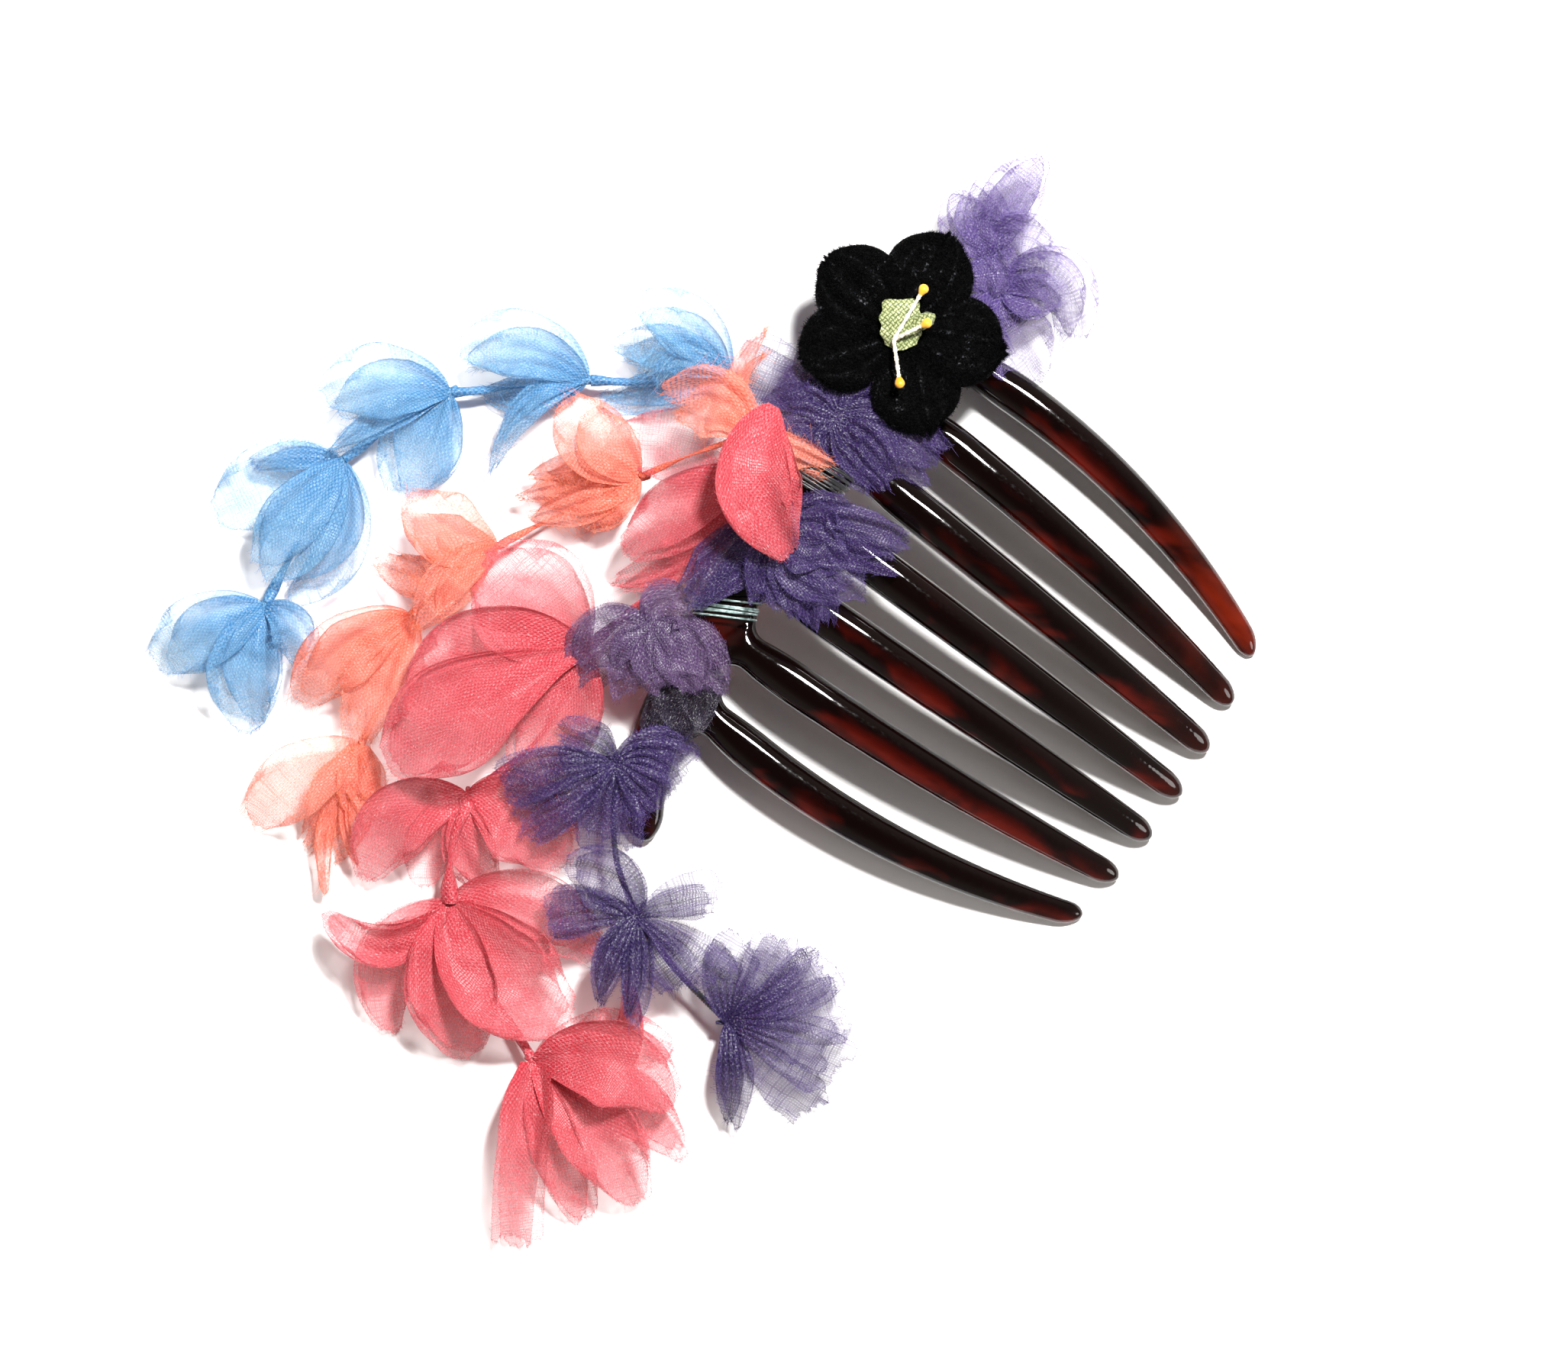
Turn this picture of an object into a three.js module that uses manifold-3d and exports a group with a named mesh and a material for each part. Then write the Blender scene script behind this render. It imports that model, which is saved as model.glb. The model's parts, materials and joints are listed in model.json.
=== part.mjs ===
// A decorative hair comb: a moulded seven-tooth side comb whose spine carries wired strands of
// organza blossoms and one velvet flower, all bound on with thread. Millimetres, +Z up. The comb
// lies with its teeth towards -Y and its spine along X, arched side up.
import * as THREE from 'three';
import { mergeVertices } from 'three/addons/utils/BufferGeometryUtils.js';
import Module from 'manifold-3d';

const wasm = await Module();
wasm.setup();

// ---- driving dimensions
const GAP = 0.3; // clearance between pieces that touch
const TEETH = 7;
const TOOTH_PITCH = 11.5;
const TOOTH_WIDTH = 5.8;
const TOOTH_HEIGHT = 4.0;
const NOTCH_RADIUS = 2.85; // rounded bottom of the gap between two teeth
const TIP_PITCH = 8.4; // the teeth lean together, so their tips stand closer than their roots
const TIP_Y = -67.7;
const SPINE_CENTRE_X = 2.3;
const SPINE_CENTRE_Y = 9.9;
const SPINE_REACH = { left: 57.2, right: 48.5 };
const SPINE_WIDTH = 9;
const SPINE_HEIGHT = 4;
const SPINE_LOW_Z = 2.2; // height of the spine's axis at its ends
const SPINE_RISE = 11.8; // how much higher its middle is
const PETAL_THICKNESS = 1.1; // at the middle of a petal; it thins out to its edges
const PETAL_CUP = 0.12; // how far a petal's sides lift, as a share of its half width
const NECK_RADIUS = 1.5;
const VELVET_CENTRE = [34.7, 12.1, 17.2];
const VELVET_THICKNESS = 1.3;

// ---- general solids
const degrees = THREE.MathUtils.degToRad;

// A closed solid through rings of equally many points, with a flat fan over each end.
function loft(rings) {
  const count = rings[0].length;
  const positions = rings.flat().flatMap((p) => [p.x, p.y, p.z]);
  const index = [];
  for (let i = 0; i + 1 < rings.length; i++) {
    for (let j = 0; j < count; j++) {
      const a = i * count + j;
      const b = i * count + ((j + 1) % count);
      index.push(a, b, b + count, a, b + count, a + count);
    }
  }
  const last = (rings.length - 1) * count;
  for (let j = 1; j + 1 < count; j++) {
    index.push(0, j + 1, j, last, last + j, last + j + 1);
  }
  const geometry = new THREE.BufferGeometry();
  geometry.setAttribute('position', new THREE.Float32BufferAttribute(positions, 3));
  geometry.setIndex(signedVolume(positions, index) < 0 ? index.reverse() : index);
  return geometry;
}

function signedVolume(positions, index) {
  const corner = (k) => new THREE.Vector3().fromArray(positions, index[k] * 3);
  let sum = 0;
  for (let k = 0; k < index.length; k += 3) {
    sum += corner(k).dot(corner(k + 1).cross(corner(k + 2)));
  }
  return sum / 6;
}

function solidOf(geometry) {
  const bare = geometry.clone();
  bare.deleteAttribute('normal');
  bare.deleteAttribute('uv');
  const merged = mergeVertices(bare);
  const vertProperties = Float32Array.from(merged.attributes.position.array);
  const triVerts = Uint32Array.from(merged.index.array);
  return new wasm.Manifold(new wasm.Mesh({ numProp: 3, vertProperties, triVerts }));
}

function geometryOf(solid) {
  const { vertProperties, triVerts } = solid.getMesh();
  const geometry = new THREE.BufferGeometry();
  geometry.setAttribute('position', new THREE.BufferAttribute(vertProperties, 3));
  geometry.setIndex(new THREE.BufferAttribute(triVerts, 1));
  return geometry;
}

const joined = (solids) => solids.reduce((whole, piece) => whole.add(piece));

// What is left after the cutters, as the one biggest body.
function cutBy(solid, cutters) {
  const left = cutters.reduce((rest, cutter) => rest.subtract(cutter), solid);
  return left.decompose().reduce((best, body) => (body.volume() > best.volume() ? body : best));
}

const ball = (radius, at) =>
  solidOf(new THREE.SphereGeometry(radius, 6, 4).translate(...at));

// A round rod along a smooth curve through the points, stopping short of either end on request.
function rod(points, radius, { grow = 0, short = [0, 0], sides = 5, steps = 4 } = {}) {
  const curve = new THREE.CatmullRomCurve3(points.map((p) => new THREE.Vector3(...p)));
  const length = curve.getLength();
  const from = short[0] / length;
  const to = 1 - short[1] / length;
  const path = [];
  for (let i = 0; i <= steps; i++) {
    path.push(curve.getPointAt(from + ((to - from) * i) / steps));
  }
  const section = new THREE.Shape();
  for (let k = 0; k < sides; k++) {
    const angle = (2 * Math.PI * k) / sides;
    const place = [(radius + grow) * Math.cos(angle), (radius + grow) * Math.sin(angle)];
    k === 0 ? section.moveTo(...place) : section.lineTo(...place);
  }
  section.closePath();
  const extrudePath = new THREE.CatmullRomCurve3(path);
  return solidOf(new THREE.ExtrudeGeometry(section, { extrudePath, steps, curveSegments: 1 }));
}

// ---- the comb, one moulded piece
// Its cross-section: flat below, upright sides, a rounded back.
const COMB_SECTION = [
  [-0.42, -0.5], [0.42, -0.5], [0.5, -0.2], [0.36, 0.35], [0, 0.5], [-0.36, 0.35], [-0.5, -0.2],
];

const combRing = (centre, sideways, width, height) =>
  COMB_SECTION.map(([a, b]) =>
    centre.clone().addScaledVector(sideways, a * width).add(new THREE.Vector3(0, 0, b * height)),
  );

// The spine's axis; t runs from -1 at its left end through 0 in the middle to 1 at its right end.
function spineAxis(t) {
  const reach = t < 0 ? SPINE_REACH.left : SPINE_REACH.right;
  const x = SPINE_CENTRE_X + t * reach;
  const y = SPINE_CENTRE_Y - 6 * t ** 2 - 6.5 * t ** 8;
  const z = SPINE_LOW_Z + SPINE_RISE * Math.cos(0.93 * t * (Math.PI / 2)) ** 2;
  return new THREE.Vector3(x, y, z);
}

const spineShare = (x) =>
  (x - SPINE_CENTRE_X) / (x < SPINE_CENTRE_X ? SPINE_REACH.left : SPINE_REACH.right);

function spineSolid(grow) {
  const half = [0.06, 0.2, 0.35, 0.5, 0.65, 0.78, 0.88, 0.95, 0.985, 1];
  const stations = [...half.map((t) => -t).reverse(), ...half];
  const rings = stations.map((t) => {
    const along = spineAxis(t + 0.01).sub(spineAxis(t - 0.01)).setZ(0).normalize();
    const sideways = new THREE.Vector3(-along.y, along.x, 0);
    const blunt = Math.abs(t) === 1 ? 0.4 : Math.abs(t) > 0.98 ? 0.8 : 1; // rounded ends
    const width = (SPINE_WIDTH - 1.5 * t ** 2 - 1.3 * t ** 8) * blunt + 2 * grow;
    const height = (SPINE_HEIGHT - 0.9 * t ** 2) * blunt + 2 * grow;
    const beyond = Math.abs(t) === 1 ? along.clone().multiplyScalar(Math.sign(t) * grow) : null;
    return combRing(beyond ? spineAxis(t).add(beyond) : spineAxis(t), sideways, width, height);
  });
  return solidOf(loft(rings));
}

// The axis of tooth number i at share u of its length, 0 inside the spine and 1 at the tip.
function toothAxis(i, u) {
  const rootX = SPINE_CENTRE_X + TOOTH_PITCH * (3 - i);
  const tipX = 1.5 + TIP_PITCH * (3 - i);
  const side = (rootX - SPINE_CENTRE_X) / (3 * TOOTH_PITCH);
  const elbowX = (rootX + tipX) / 2 + 9 * side ** 3; // the outer teeth bow outwards
  const rootY = 7.8 - 0.0028 * (rootX - SPINE_CENTRE_X) ** 2;
  const tipY = TIP_Y + 2.6 * side ** 2 + 1.2 * side;
  const rootZ = spineAxis(spineShare(rootX)).z;
  const tipZ = 2.3 - 1.2 * side ** 2;
  const arch = 3 - 1.5 * side ** 2;
  const x = (1 - u) ** 2 * rootX + 2 * u * (1 - u) * elbowX + u ** 2 * tipX;
  const y = rootY + (tipY - rootY) * u;
  const z = tipZ + (rootZ - tipZ) * (1 - u ** 2) + 4 * arch * u * (1 - u);
  return new THREE.Vector3(x, y, z);
}

function toothSolid(i, grow) {
  const across = new THREE.Vector3(1, 0, 0);
  const length = toothAxis(i, 0).y - toothAxis(i, 1).y;
  const notchAt = 2.2; // from the axis' start down to the bottom of the notch
  const flare = [0, 0.4, 1.2, NOTCH_RADIUS].map((depth) => {
    const halfGap = Math.sqrt(NOTCH_RADIUS ** 2 - (NOTCH_RADIUS - depth) ** 2);
    return [(notchAt + depth + grow) / length, TOOTH_PITCH - 2 * halfGap, TOOTH_HEIGHT];
  });
  const taper = [0.2, 0.38, 0.56, 0.74, 0.88, 0.96].map((u) => [
    u,
    TOOTH_WIDTH - 2.7 * u ** 2.2,
    TOOTH_HEIGHT - 1.8 * u ** 2,
  ]);
  const stations = [[0, TOOTH_PITCH, TOOTH_HEIGHT - 1], ...flare, ...taper, [1, 1.3, 1.2]];
  const rings = stations.map(([u, width, height]) =>
    combRing(toothAxis(i, u), across, width + 2 * grow, height + 2 * grow),
  );
  return solidOf(loft(rings));
}

function combSolid(grow = 0) {
  const teeth = Array.from({ length: TEETH }, (_, i) => toothSolid(i, grow));
  return joined([spineSolid(grow), ...teeth]);
}

// ---- petals and blossoms
// A petal is [angle, length, width, rise, tip, bow]: its plan direction in degrees, its size, the
// heights of its middle and its tip above the neck, and how far its middle bows to the left.
const PETAL_STATIONS = [[0, 0.3], [0.35, 0.8], [0.7, 1], [1, 0.45]];

function petalAxis([angle, length, , rise, tip, bow], u) {
  const along = new THREE.Vector3(Math.cos(degrees(angle)), Math.sin(degrees(angle)), 0);
  const left = new THREE.Vector3(-along.y, along.x, 0);
  const height = (4 * rise - tip) * u + (2 * tip - 4 * rise) * u ** 2;
  return along.multiplyScalar(length * u).addScaledVector(left, 4 * bow * u * (1 - u)).setZ(height);
}

function petalSolid(petal, grow = 0) {
  const width = petal[2];
  const rings = PETAL_STATIONS.map(([u, share]) => {
    const step = u === 0 ? -grow : u === 1 ? grow : 0;
    const at = u + step / petal[1];
    const along = petalAxis(petal, u + 0.05).sub(petalAxis(petal, u - 0.05)).setZ(0).normalize();
    const half = (width / 2) * share + 3 * grow;
    const place = (v, up) =>
      petalAxis(petal, at)
        .add(new THREE.Vector3(-along.y * v * half, along.x * v * half, PETAL_CUP * half * v * v + up));
    const thick = PETAL_THICKNESS / 2 + 1.2 * grow;
    return [place(-1, 0), place(0, thick), place(1, 0), place(0, -thick)];
  });
  return solidOf(loft(rings));
}

function blossomSolid({ at, petals }, grow = 0) {
  const bead = ball(NECK_RADIUS + grow, [0, 0, 0]);
  return joined([bead, ...petals.map((petal) => petalSolid(petal, grow))]).translate(at);
}

const BLOSSOMS = {
  lilac_blossom_1: {
    at: [52.5, 8.3, 10],
    petals: [[5, 18, 8, 1, -4, 1.3], [70, 11.5, 7, 1, -1, 0], [-52, 9, 5, 1.5, 1, 2.7]],
  },
  lilac_blossom_2: {
    at: [49.3, 3.6, 9],
    petals: [[-83, 15, 9, 2, -4, 6], [-120, 15.5, 11, 1, -6, -0.8], [-141, 9, 6, 2, 0, -3.3]],
  },
  violet_cluster_1: {
    at: [17, 12.5, 16],
    petals: [
      [92, 18.5, 9, -1, -5, -0.9], [-1, 10.8, 6, 0, -1, 0.7],
      [-81, 17.5, 9, 1, -0.5, 1.5], [-129, 8, 6, 0.5, 0.5, -0.7],
    ],
  },
  violet_cluster_2: {
    at: [-2.2, 9.6, 18],
    petals: [
      [-65, 20, 9, 1.2, 1, 0.8], [-123, 16, 9, 0.8, 0, 0.6],
      [163, 18, 8, -0.5, -1.5, -1.1], [-92, 16, 8, 1.6, 0.6, -0.7],
    ],
  },
  plum_blossom: {
    at: [-26.4, 16.8, 14],
    petals: [
      [161, 13.8, 10, 0, -3, -1.5], [-25, 7, 6, 0.5, 0, 1.8],
      [-96, 14.7, 9, 0.3, -0.5, 1.2], [-159, 11.7, 9, 0.5, -1, 0],
    ],
  },
  dark_organza_cuff: { at: [-27.3, 2.6, 11.8], petals: [[169, 13.3, 9, 0, -2.5, -1.5]] },
  violet_blossom_1: {
    at: [-47.5, 8.8, 12],
    petals: [
      [139, 18, 8, 2, -0.5, -1.1], [161, 18, 6.5, 1, -1, 0.5], [-149, 13.7, 9, 0.8, -1, 0],
      [-64, 11.8, 8, 0, -3, 2.1], [100, 10, 7, 1.5, 0, 0],
    ],
  },
  violet_blossom_2: {
    at: [-65.2, -8.3, 12],
    petals: [
      [91, 14, 9, 1, 0.5, -2.2], [126, 14, 7, 0, -0.5, -1], [-166, 15, 6, 0, -1, -1.2],
      [-145, 16.8, 5, -0.5, -1, 0.4], [-108, 13, 7, -0.5, -3, -0.4],
      [-92, 17, 6.5, 1, -2, 0.8], [-37, 13.8, 6, 1, -1, 0.8],
    ],
  },
  violet_blossom_3: {
    at: [-70.6, -30.1, 6],
    petals: [
      [26, 13.4, 7, 2, 0, 1.2], [0, 16.3, 8, 1.5, -1, -0.8], [-23, 19, 8, 3, 0, -0.8],
      [-48, 18.9, 7.5, 1, -3, 0.3], [-78, 19.9, 7.5, 3, -1, 0.6],
      [-99, 19.8, 7.5, 0.5, -4, -0.4], [-139, 16.8, 5.5, 1.5, -3, 0.5],
    ],
  },
  blue_blossom_1: {
    at: [13, 30.5, 9],
    petals: [
      [86, 19, 9.5, 3, 2, -1.6], [111, 19, 7.5, -1, -4, -1.7],
      [128, 14, 5, 2.5, 1, -4], [140, 20.5, 6.5, -5.5, -8, 0],
    ],
  },
  blue_blossom_2: {
    at: [-0.8, 48.5, 5],
    petals: [[113, 21, 10, 4, 2, -3], [133, 17, 6.5, -2.5, -4, 1], [169, 20.5, 3.5, 3, 0, -2.5]],
  },
  blue_blossom_3: {
    at: [-15.5, 65.2, 5],
    petals: [[128, 20, 12, 4, 1.5, -2], [154, 21, 4.5, 3, 2, -1], [-171, 18, 13.5, -1, -4, 0]],
  },
  blue_blossom_4: {
    at: [-34.4, 72.6, 5],
    petals: [
      [153, 22, 14, -1, -4, -1], [-174, 22, 13, 4, 2.5, 0],
      [-165, 24, 8, 1, -3.5, 5], [125, 14.6, 4, 1, -1, -1],
    ],
  },
  blue_blossom_5: {
    at: [-60.5, 68.9, 5],
    petals: [[154, 19.7, 12.5, 2.5, -2.5, -1], [-153, 20, 12, 1, -4.2, -1], [-114, 11.6, 7, 2, -3, 2.4]],
  },
  coral_blossom_1: {
    at: [7, 22, 18.5],
    petals: [[103, 13.4, 8, 1, -3, -2.5], [27, 16.7, 3, 0, -1, 3], [-78, 13, 5, 0, -0.5, 0]],
  },
  coral_blossom_2: {
    at: [-8.5, 32.5, 8],
    petals: [
      [80, 17.2, 11, 3, 1, 1], [126, 17, 5, 1, -3, -1.5], [135, 19.4, 4, 0, -3, 0],
      [146, 17.8, 5, 1, -2, 1], [166, 11.5, 5.5, 0.5, -4, 1],
    ],
  },
  coral_blossom_3: {
    at: [-30.7, 44.5, 7],
    petals: [[96, 15.8, 12, 3, 0, 1.6], [133, 19.6, 7, 1.5, -4, 4], [172, 17.6, 8, 5, 4, -1]],
  },
  coral_blossom_4: {
    at: [-48, 49.2, 5],
    petals: [[165, 22.4, 11, 3.5, -1.5, -2], [-162, 20.5, 11, 2, 0, -0.7]],
  },
  coral_blossom_5: {
    at: [-69.4, 43.5, 4],
    petals: [[160, 21.7, 10, 3, -3, -1], [-164, 17.5, 9, 1.5, -2.5, 0.7], [-158, 25, 3.5, 1, 0, 3]],
  },
  pink_cup_petal: { at: [13, 21.5, 20.5], petals: [[-136, 23.5, 13, 6, 1, -4]] },
  pink_blossom_1: {
    at: [2, 18.5, 17],
    petals: [[160, 23.2, 11, -1, -6, -1], [164, 27, 6, -4, -10, 3.5], [114, 22.7, 12, -6, -11, -2]],
  },
  pink_blossom_2: {
    at: [-36, 23.3, 10],
    petals: [
      [89, 22, 15, 1, 0, 0], [141, 28.7, 16, 4, 0, -6],
      [159, 34.3, 15, 1, -2, -4], [-173, 23, 12, -1, -3, 1.3],
    ],
  },
  pink_blossom_3: {
    at: [-66, 24.6, 7],
    petals: [
      [166, 20.9, 9, 1, -4, -4], [-171, 16, 7.5, -1, -4.5, -1.6],
      [-92, 17.8, 12, 1.5, -3, 3], [-136, 15, 6, 0, -5, -1.6],
    ],
  },
  pink_blossom_4: {
    at: [-81.5, 17, 6],
    petals: [
      [129, 19.8, 8.5, 4, 2, 6], [-169, 23, 8, -1, -5, -4.8], [-140, 24, 13.5, 1, -4, -0.7],
      [-99, 25.5, 16, 2, -1, -2], [-75, 25, 9, 0, -2, 4],
    ],
  },
  pink_blossom_5: {
    at: [-94, -9, 5],
    petals: [
      [-10, 20, 6.5, 2, 3, -10], [-148, 29, 8, 2, -3.5, -0.5], [-126, 26.6, 9, 1, -4, 0],
      [-109, 28, 11, 2.5, -2.5, 2], [-73, 23.5, 12, 4.5, 2, 5],
      [-48, 22, 9, -1, -4, 3], [-86, 28, 10, -1.5, -4.2, 3.4],
    ],
  },
};

// ---- wire stems
// Each runs through its points; an end that names a blossom stops just short of that one's neck.
const WIRE_RADIUS = 0.55;
const STEMS = {
  blue_stem_1: { radius: 0.7, via: [[8.6, 11.5, 17.2], [9.8, 17.5, 14.6]], to: 'blue_blossom_1' },
  blue_stem_2: { radius: 0.7, from: 'blue_blossom_1', via: [[5, 40, 5.4]], to: 'blue_blossom_2' },
  blue_stem_3: { radius: 0.7, from: 'blue_blossom_2', via: [[-8, 56.6, 5.4]], to: 'blue_blossom_3' },
  blue_stem_4: { radius: 0.7, from: 'blue_blossom_3', via: [[-25, 69.4, 4.4]], to: 'blue_blossom_4' },
  blue_stem_5: { radius: 0.7, from: 'blue_blossom_4', via: [[-47, 71, 3.4]], to: 'blue_blossom_5' },
  coral_stem_1: { radius: 0.55, via: [[6.4, 11.5, 17.2], [6.8, 16.5, 17.4]], to: 'coral_blossom_1' },
  coral_stem_2: { radius: 0.5, from: 'coral_blossom_1', via: [[-0.9, 27.7, 14.4]], to: 'coral_blossom_2' },
  coral_stem_3: { radius: 0.5, from: 'coral_blossom_2', via: [[-20, 39, 3.4]], to: 'coral_blossom_3' },
  coral_stem_4: { radius: 0.5, from: 'coral_blossom_3', via: [[-39, 47.4, 5]], to: 'coral_blossom_4' },
  coral_stem_5: { radius: 0.5, from: 'coral_blossom_4', via: [[-58, 45.6, 2.6]], to: 'coral_blossom_5' },
  pink_stem_1: { radius: 0.7, via: [[4, 11.5, 17.2], [3.2, 14.6, 17]], to: 'pink_blossom_1' },
  pink_stem_2: { radius: 0.7, from: 'pink_blossom_1', via: [[-15, 18.6, 7.6]], to: 'pink_blossom_2' },
  pink_stem_3: { radius: 0.7, from: 'pink_blossom_2', via: [[-51, 21, 5.6]], to: 'pink_blossom_3' },
  pink_stem_4: { radius: 1.1, from: 'pink_blossom_3', via: [[-74.4, 21.6, 8.4]], to: 'pink_blossom_4' },
  pink_stem_5: { radius: 0.7, from: 'pink_blossom_4', via: [[-88.6, 4, 2.4]], to: 'pink_blossom_5' },
  violet_stem_1: { radius: WIRE_RADIUS, via: [[-19.4, 12.2, 13.8], [-12, 11.2, 15.8]], to: 'violet_cluster_2' },
  violet_stem_2: { radius: WIRE_RADIUS, from: 'violet_blossom_1', via: [[-59, 0.4, 9]], to: 'violet_blossom_2' },
  violet_stem_3: { radius: WIRE_RADIUS, from: 'violet_blossom_2', via: [[-68.6, -18.4, 6.4]], to: 'violet_blossom_3' },
  flower_stem: { radius: WIRE_RADIUS, via: [[27.4, 9.4, 12.6], [32, 10.8, 12.4], [34.4, 12, 15.6]] },
};

function stemSolid({ radius, from, via, to }, grow = 0) {
  const points = [...via];
  if (from) points.unshift(BLOSSOMS[from].at);
  if (to) points.push(BLOSSOMS[to].at);
  const clear = NECK_RADIUS + GAP - grow;
  return rod(points, radius, { grow, short: [from ? clear : 0, to ? clear : 0] });
}

// ---- thread wraps around the spine and through the notches between the teeth
// Each is a short sleeve [x, y, slant in degrees, length along the spine, height above it].
const WRAPS = {
  thread_wrap_teal: [-17.2, 9, 28, 2.8, 1.9],
  thread_wrap_dark: [-29.6, 7.4, 30, 3.4, 1.7],
  thread_wrap_black: [8.4, 9.6, 4, 5, 2.4],
  thread_wrap_silver: [18.6, 9.4, 6, 2.6, 0.9],
  thread_wrap_end: [30.4, 8, -8, 3, 0.9],
};

function wrapBlock([x, y, slant, length, above], grow = 0) {
  const z = spineAxis(spineShare(x)).z;
  const across = SPINE_WIDTH + 3;
  const top = SPINE_HEIGHT / 2 + above + grow;
  const bottom = -SPINE_HEIGHT / 2 - 1.1 - grow;
  const half = across / 2 + grow;
  const bevel = 1.1;
  const outline = [
    [-half, bottom + bevel], [-half + bevel, bottom], [half - bevel, bottom], [half, bottom + bevel],
    [half, top - bevel], [half - bevel, top], [-half + bevel, top], [-half, top - bevel],
  ];
  const ring = (along) => outline.map(([a, b]) => new THREE.Vector3(along, a, b));
  const reach = length / 2 + grow;
  const block = loft([ring(-reach), ring(reach)]);
  block.rotateZ(degrees(slant)).translate(x, y, z);
  return solidOf(block);
}

// ---- the velvet flower
const VELVET_ANGLES = [13, 74, 145, -131, -57];

const velvetPetal = (angle, grow = 0) =>
  solidOf(velvetShape(angle, grow)).translate(VELVET_CENTRE);

function velvetShape(angle, grow) {
  const outline = [[2.2, 1.5], [6, 4.6], [10, 7.6], [14, 7.4], [16.6, 3.6]];
  const turn = degrees(angle);
  const rings = outline.map(([radius, half]) => {
    const out = radius + (radius > 16 ? grow : radius < 3 ? -grow : 0);
    const place = (v, side) =>
      new THREE.Vector3(out, v * (half + grow), side * (VELVET_THICKNESS / 2 + grow) + 0.4 * v * v)
        .applyAxisAngle(new THREE.Vector3(0, 0, 1), turn);
    return [place(-1, 1), place(0, 1), place(1, 1), place(1, -1), place(0, -1), place(-1, -1)];
  });
  return loft(rings);
}

function greenCentre(grow = 0) {
  const profile = [[0, 0.8], [2.6, 0.8], [3.6, 1.3], [3.2, 2.2], [1.8, 2.9], [0, 3.1]];
  const points = profile.map(([r, z]) => new THREE.Vector2(r === 0 ? 0 : r + grow, z));
  const dome = new THREE.LatheGeometry(points, 12).rotateX(Math.PI / 2);
  return solidOf(dome.translate(...VELVET_CENTRE));
}

const STAMENS = { stamen_1: [6.6, 1, 5.2], stamen_2: [2.6, -2.4, 5.4], stamen_3: [-7, -4.4, 4.4] };

function stamenSolid([dx, dy, dz]) {
  const [x, y, z] = VELVET_CENTRE;
  const direction = new THREE.Vector3(dx, dy, 0).normalize();
  const foot = [x + direction.x * 1.2, y + direction.y * 1.2, z + 3.5];
  const head = [x + dx, y + dy, z + dz];
  const bend = [(foot[0] + head[0]) / 2, (foot[1] + head[1]) / 2, z + 0.5 * (3.5 + dz) + 0.6];
  const thread = rod([foot, bend, head], 0.35, { steps: 4 });
  return thread.add(ball(0.95, head));
}

// ---- materials
const finish = (color, roughness) => new THREE.MeshStandardMaterial({ color, roughness, metalness: 0 });
const MATERIALS = {
  comb: finish(0x2a0d08, 0.12),
  teal_thread: finish(0x39514f, 0.35),
  dark_thread: finish(0x141318, 0.45),
  velvet: finish(0x0b0b0d, 0.95),
  green_weave: finish(0x9db07a, 0.5),
  stamen: finish(0xe9dcc0, 0.7),
  lilac: finish(0xa89ac8, 0.7),
  violet: finish(0x5b4a97, 0.7),
  plum: finish(0x5d4a78, 0.7),
  dark_organza: finish(0x2b2838, 0.7),
  blue: finish(0x4c97cf, 0.7),
  coral: finish(0xf57f5c, 0.75),
  pink: finish(0xdf4f60, 0.65),
  black_wire: finish(0x17161b, 0.6),
};

function materialFor(name) {
  if (name.startsWith('thread_wrap')) {
    return name.endsWith('black') || name.endsWith('dark') ? MATERIALS.dark_thread : MATERIALS.teal_thread;
  }
  if (name.startsWith('velvet_petal')) return MATERIALS.velvet;
  if (name === 'dark_organza_cuff') return MATERIALS.dark_organza;
  if (name.startsWith('violet_stem') || name === 'flower_stem') return MATERIALS.black_wire;
  return MATERIALS[name.split('_')[0]];
}

// ---- assembly
// Pieces are made in this order, and each is cut back from the room of all the earlier ones.
function addTo(strand, name, solid, at = [0, 0, 0]) {
  const back = at.map((value) => -value);
  const mesh = new THREE.Mesh(geometryOf(solid.translate(back)), materialFor(name));
  mesh.name = name;
  mesh.position.set(...at);
  strand.add(mesh);
}

const combStrand = new THREE.Group();
const flowerStrand = new THREE.Group();
const strands = { blue: new THREE.Group(), coral: new THREE.Group(), pink: new THREE.Group() };
const violetStrand = new THREE.Group();
const taken = []; // the room of every piece made so far, with its clearance

addTo(combStrand, 'comb', combSolid());
taken.push(combSolid(GAP));

for (const [name, stem] of Object.entries(STEMS)) {
  addTo(strands[name.split('_')[0]] ?? violetStrand, name, cutBy(stemSolid(stem), taken));
  taken.push(stemSolid(stem, GAP));
}

for (const [name, wrap] of Object.entries(WRAPS)) {
  addTo(combStrand, name, cutBy(wrapBlock(wrap), taken));
  taken.push(wrapBlock(wrap, GAP));
}

VELVET_ANGLES.forEach((angle, i) => {
  addTo(flowerStrand, `velvet_petal_${i + 1}`, cutBy(velvetPetal(angle), taken));
  taken.push(velvetPetal(angle, GAP));
});
const green = cutBy(greenCentre(), taken);
flowerStrand.add(new THREE.Mesh(geometryOf(green), MATERIALS.green_weave));
flowerStrand.children.at(-1).name = 'green_centre';
taken.push(greenCentre(GAP));
for (const [name, reach] of Object.entries(STAMENS)) {
  const stamen = new THREE.Mesh(geometryOf(cutBy(stamenSolid(reach), taken)), MATERIALS.stamen);
  stamen.name = name;
  flowerStrand.add(stamen);
}

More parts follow.
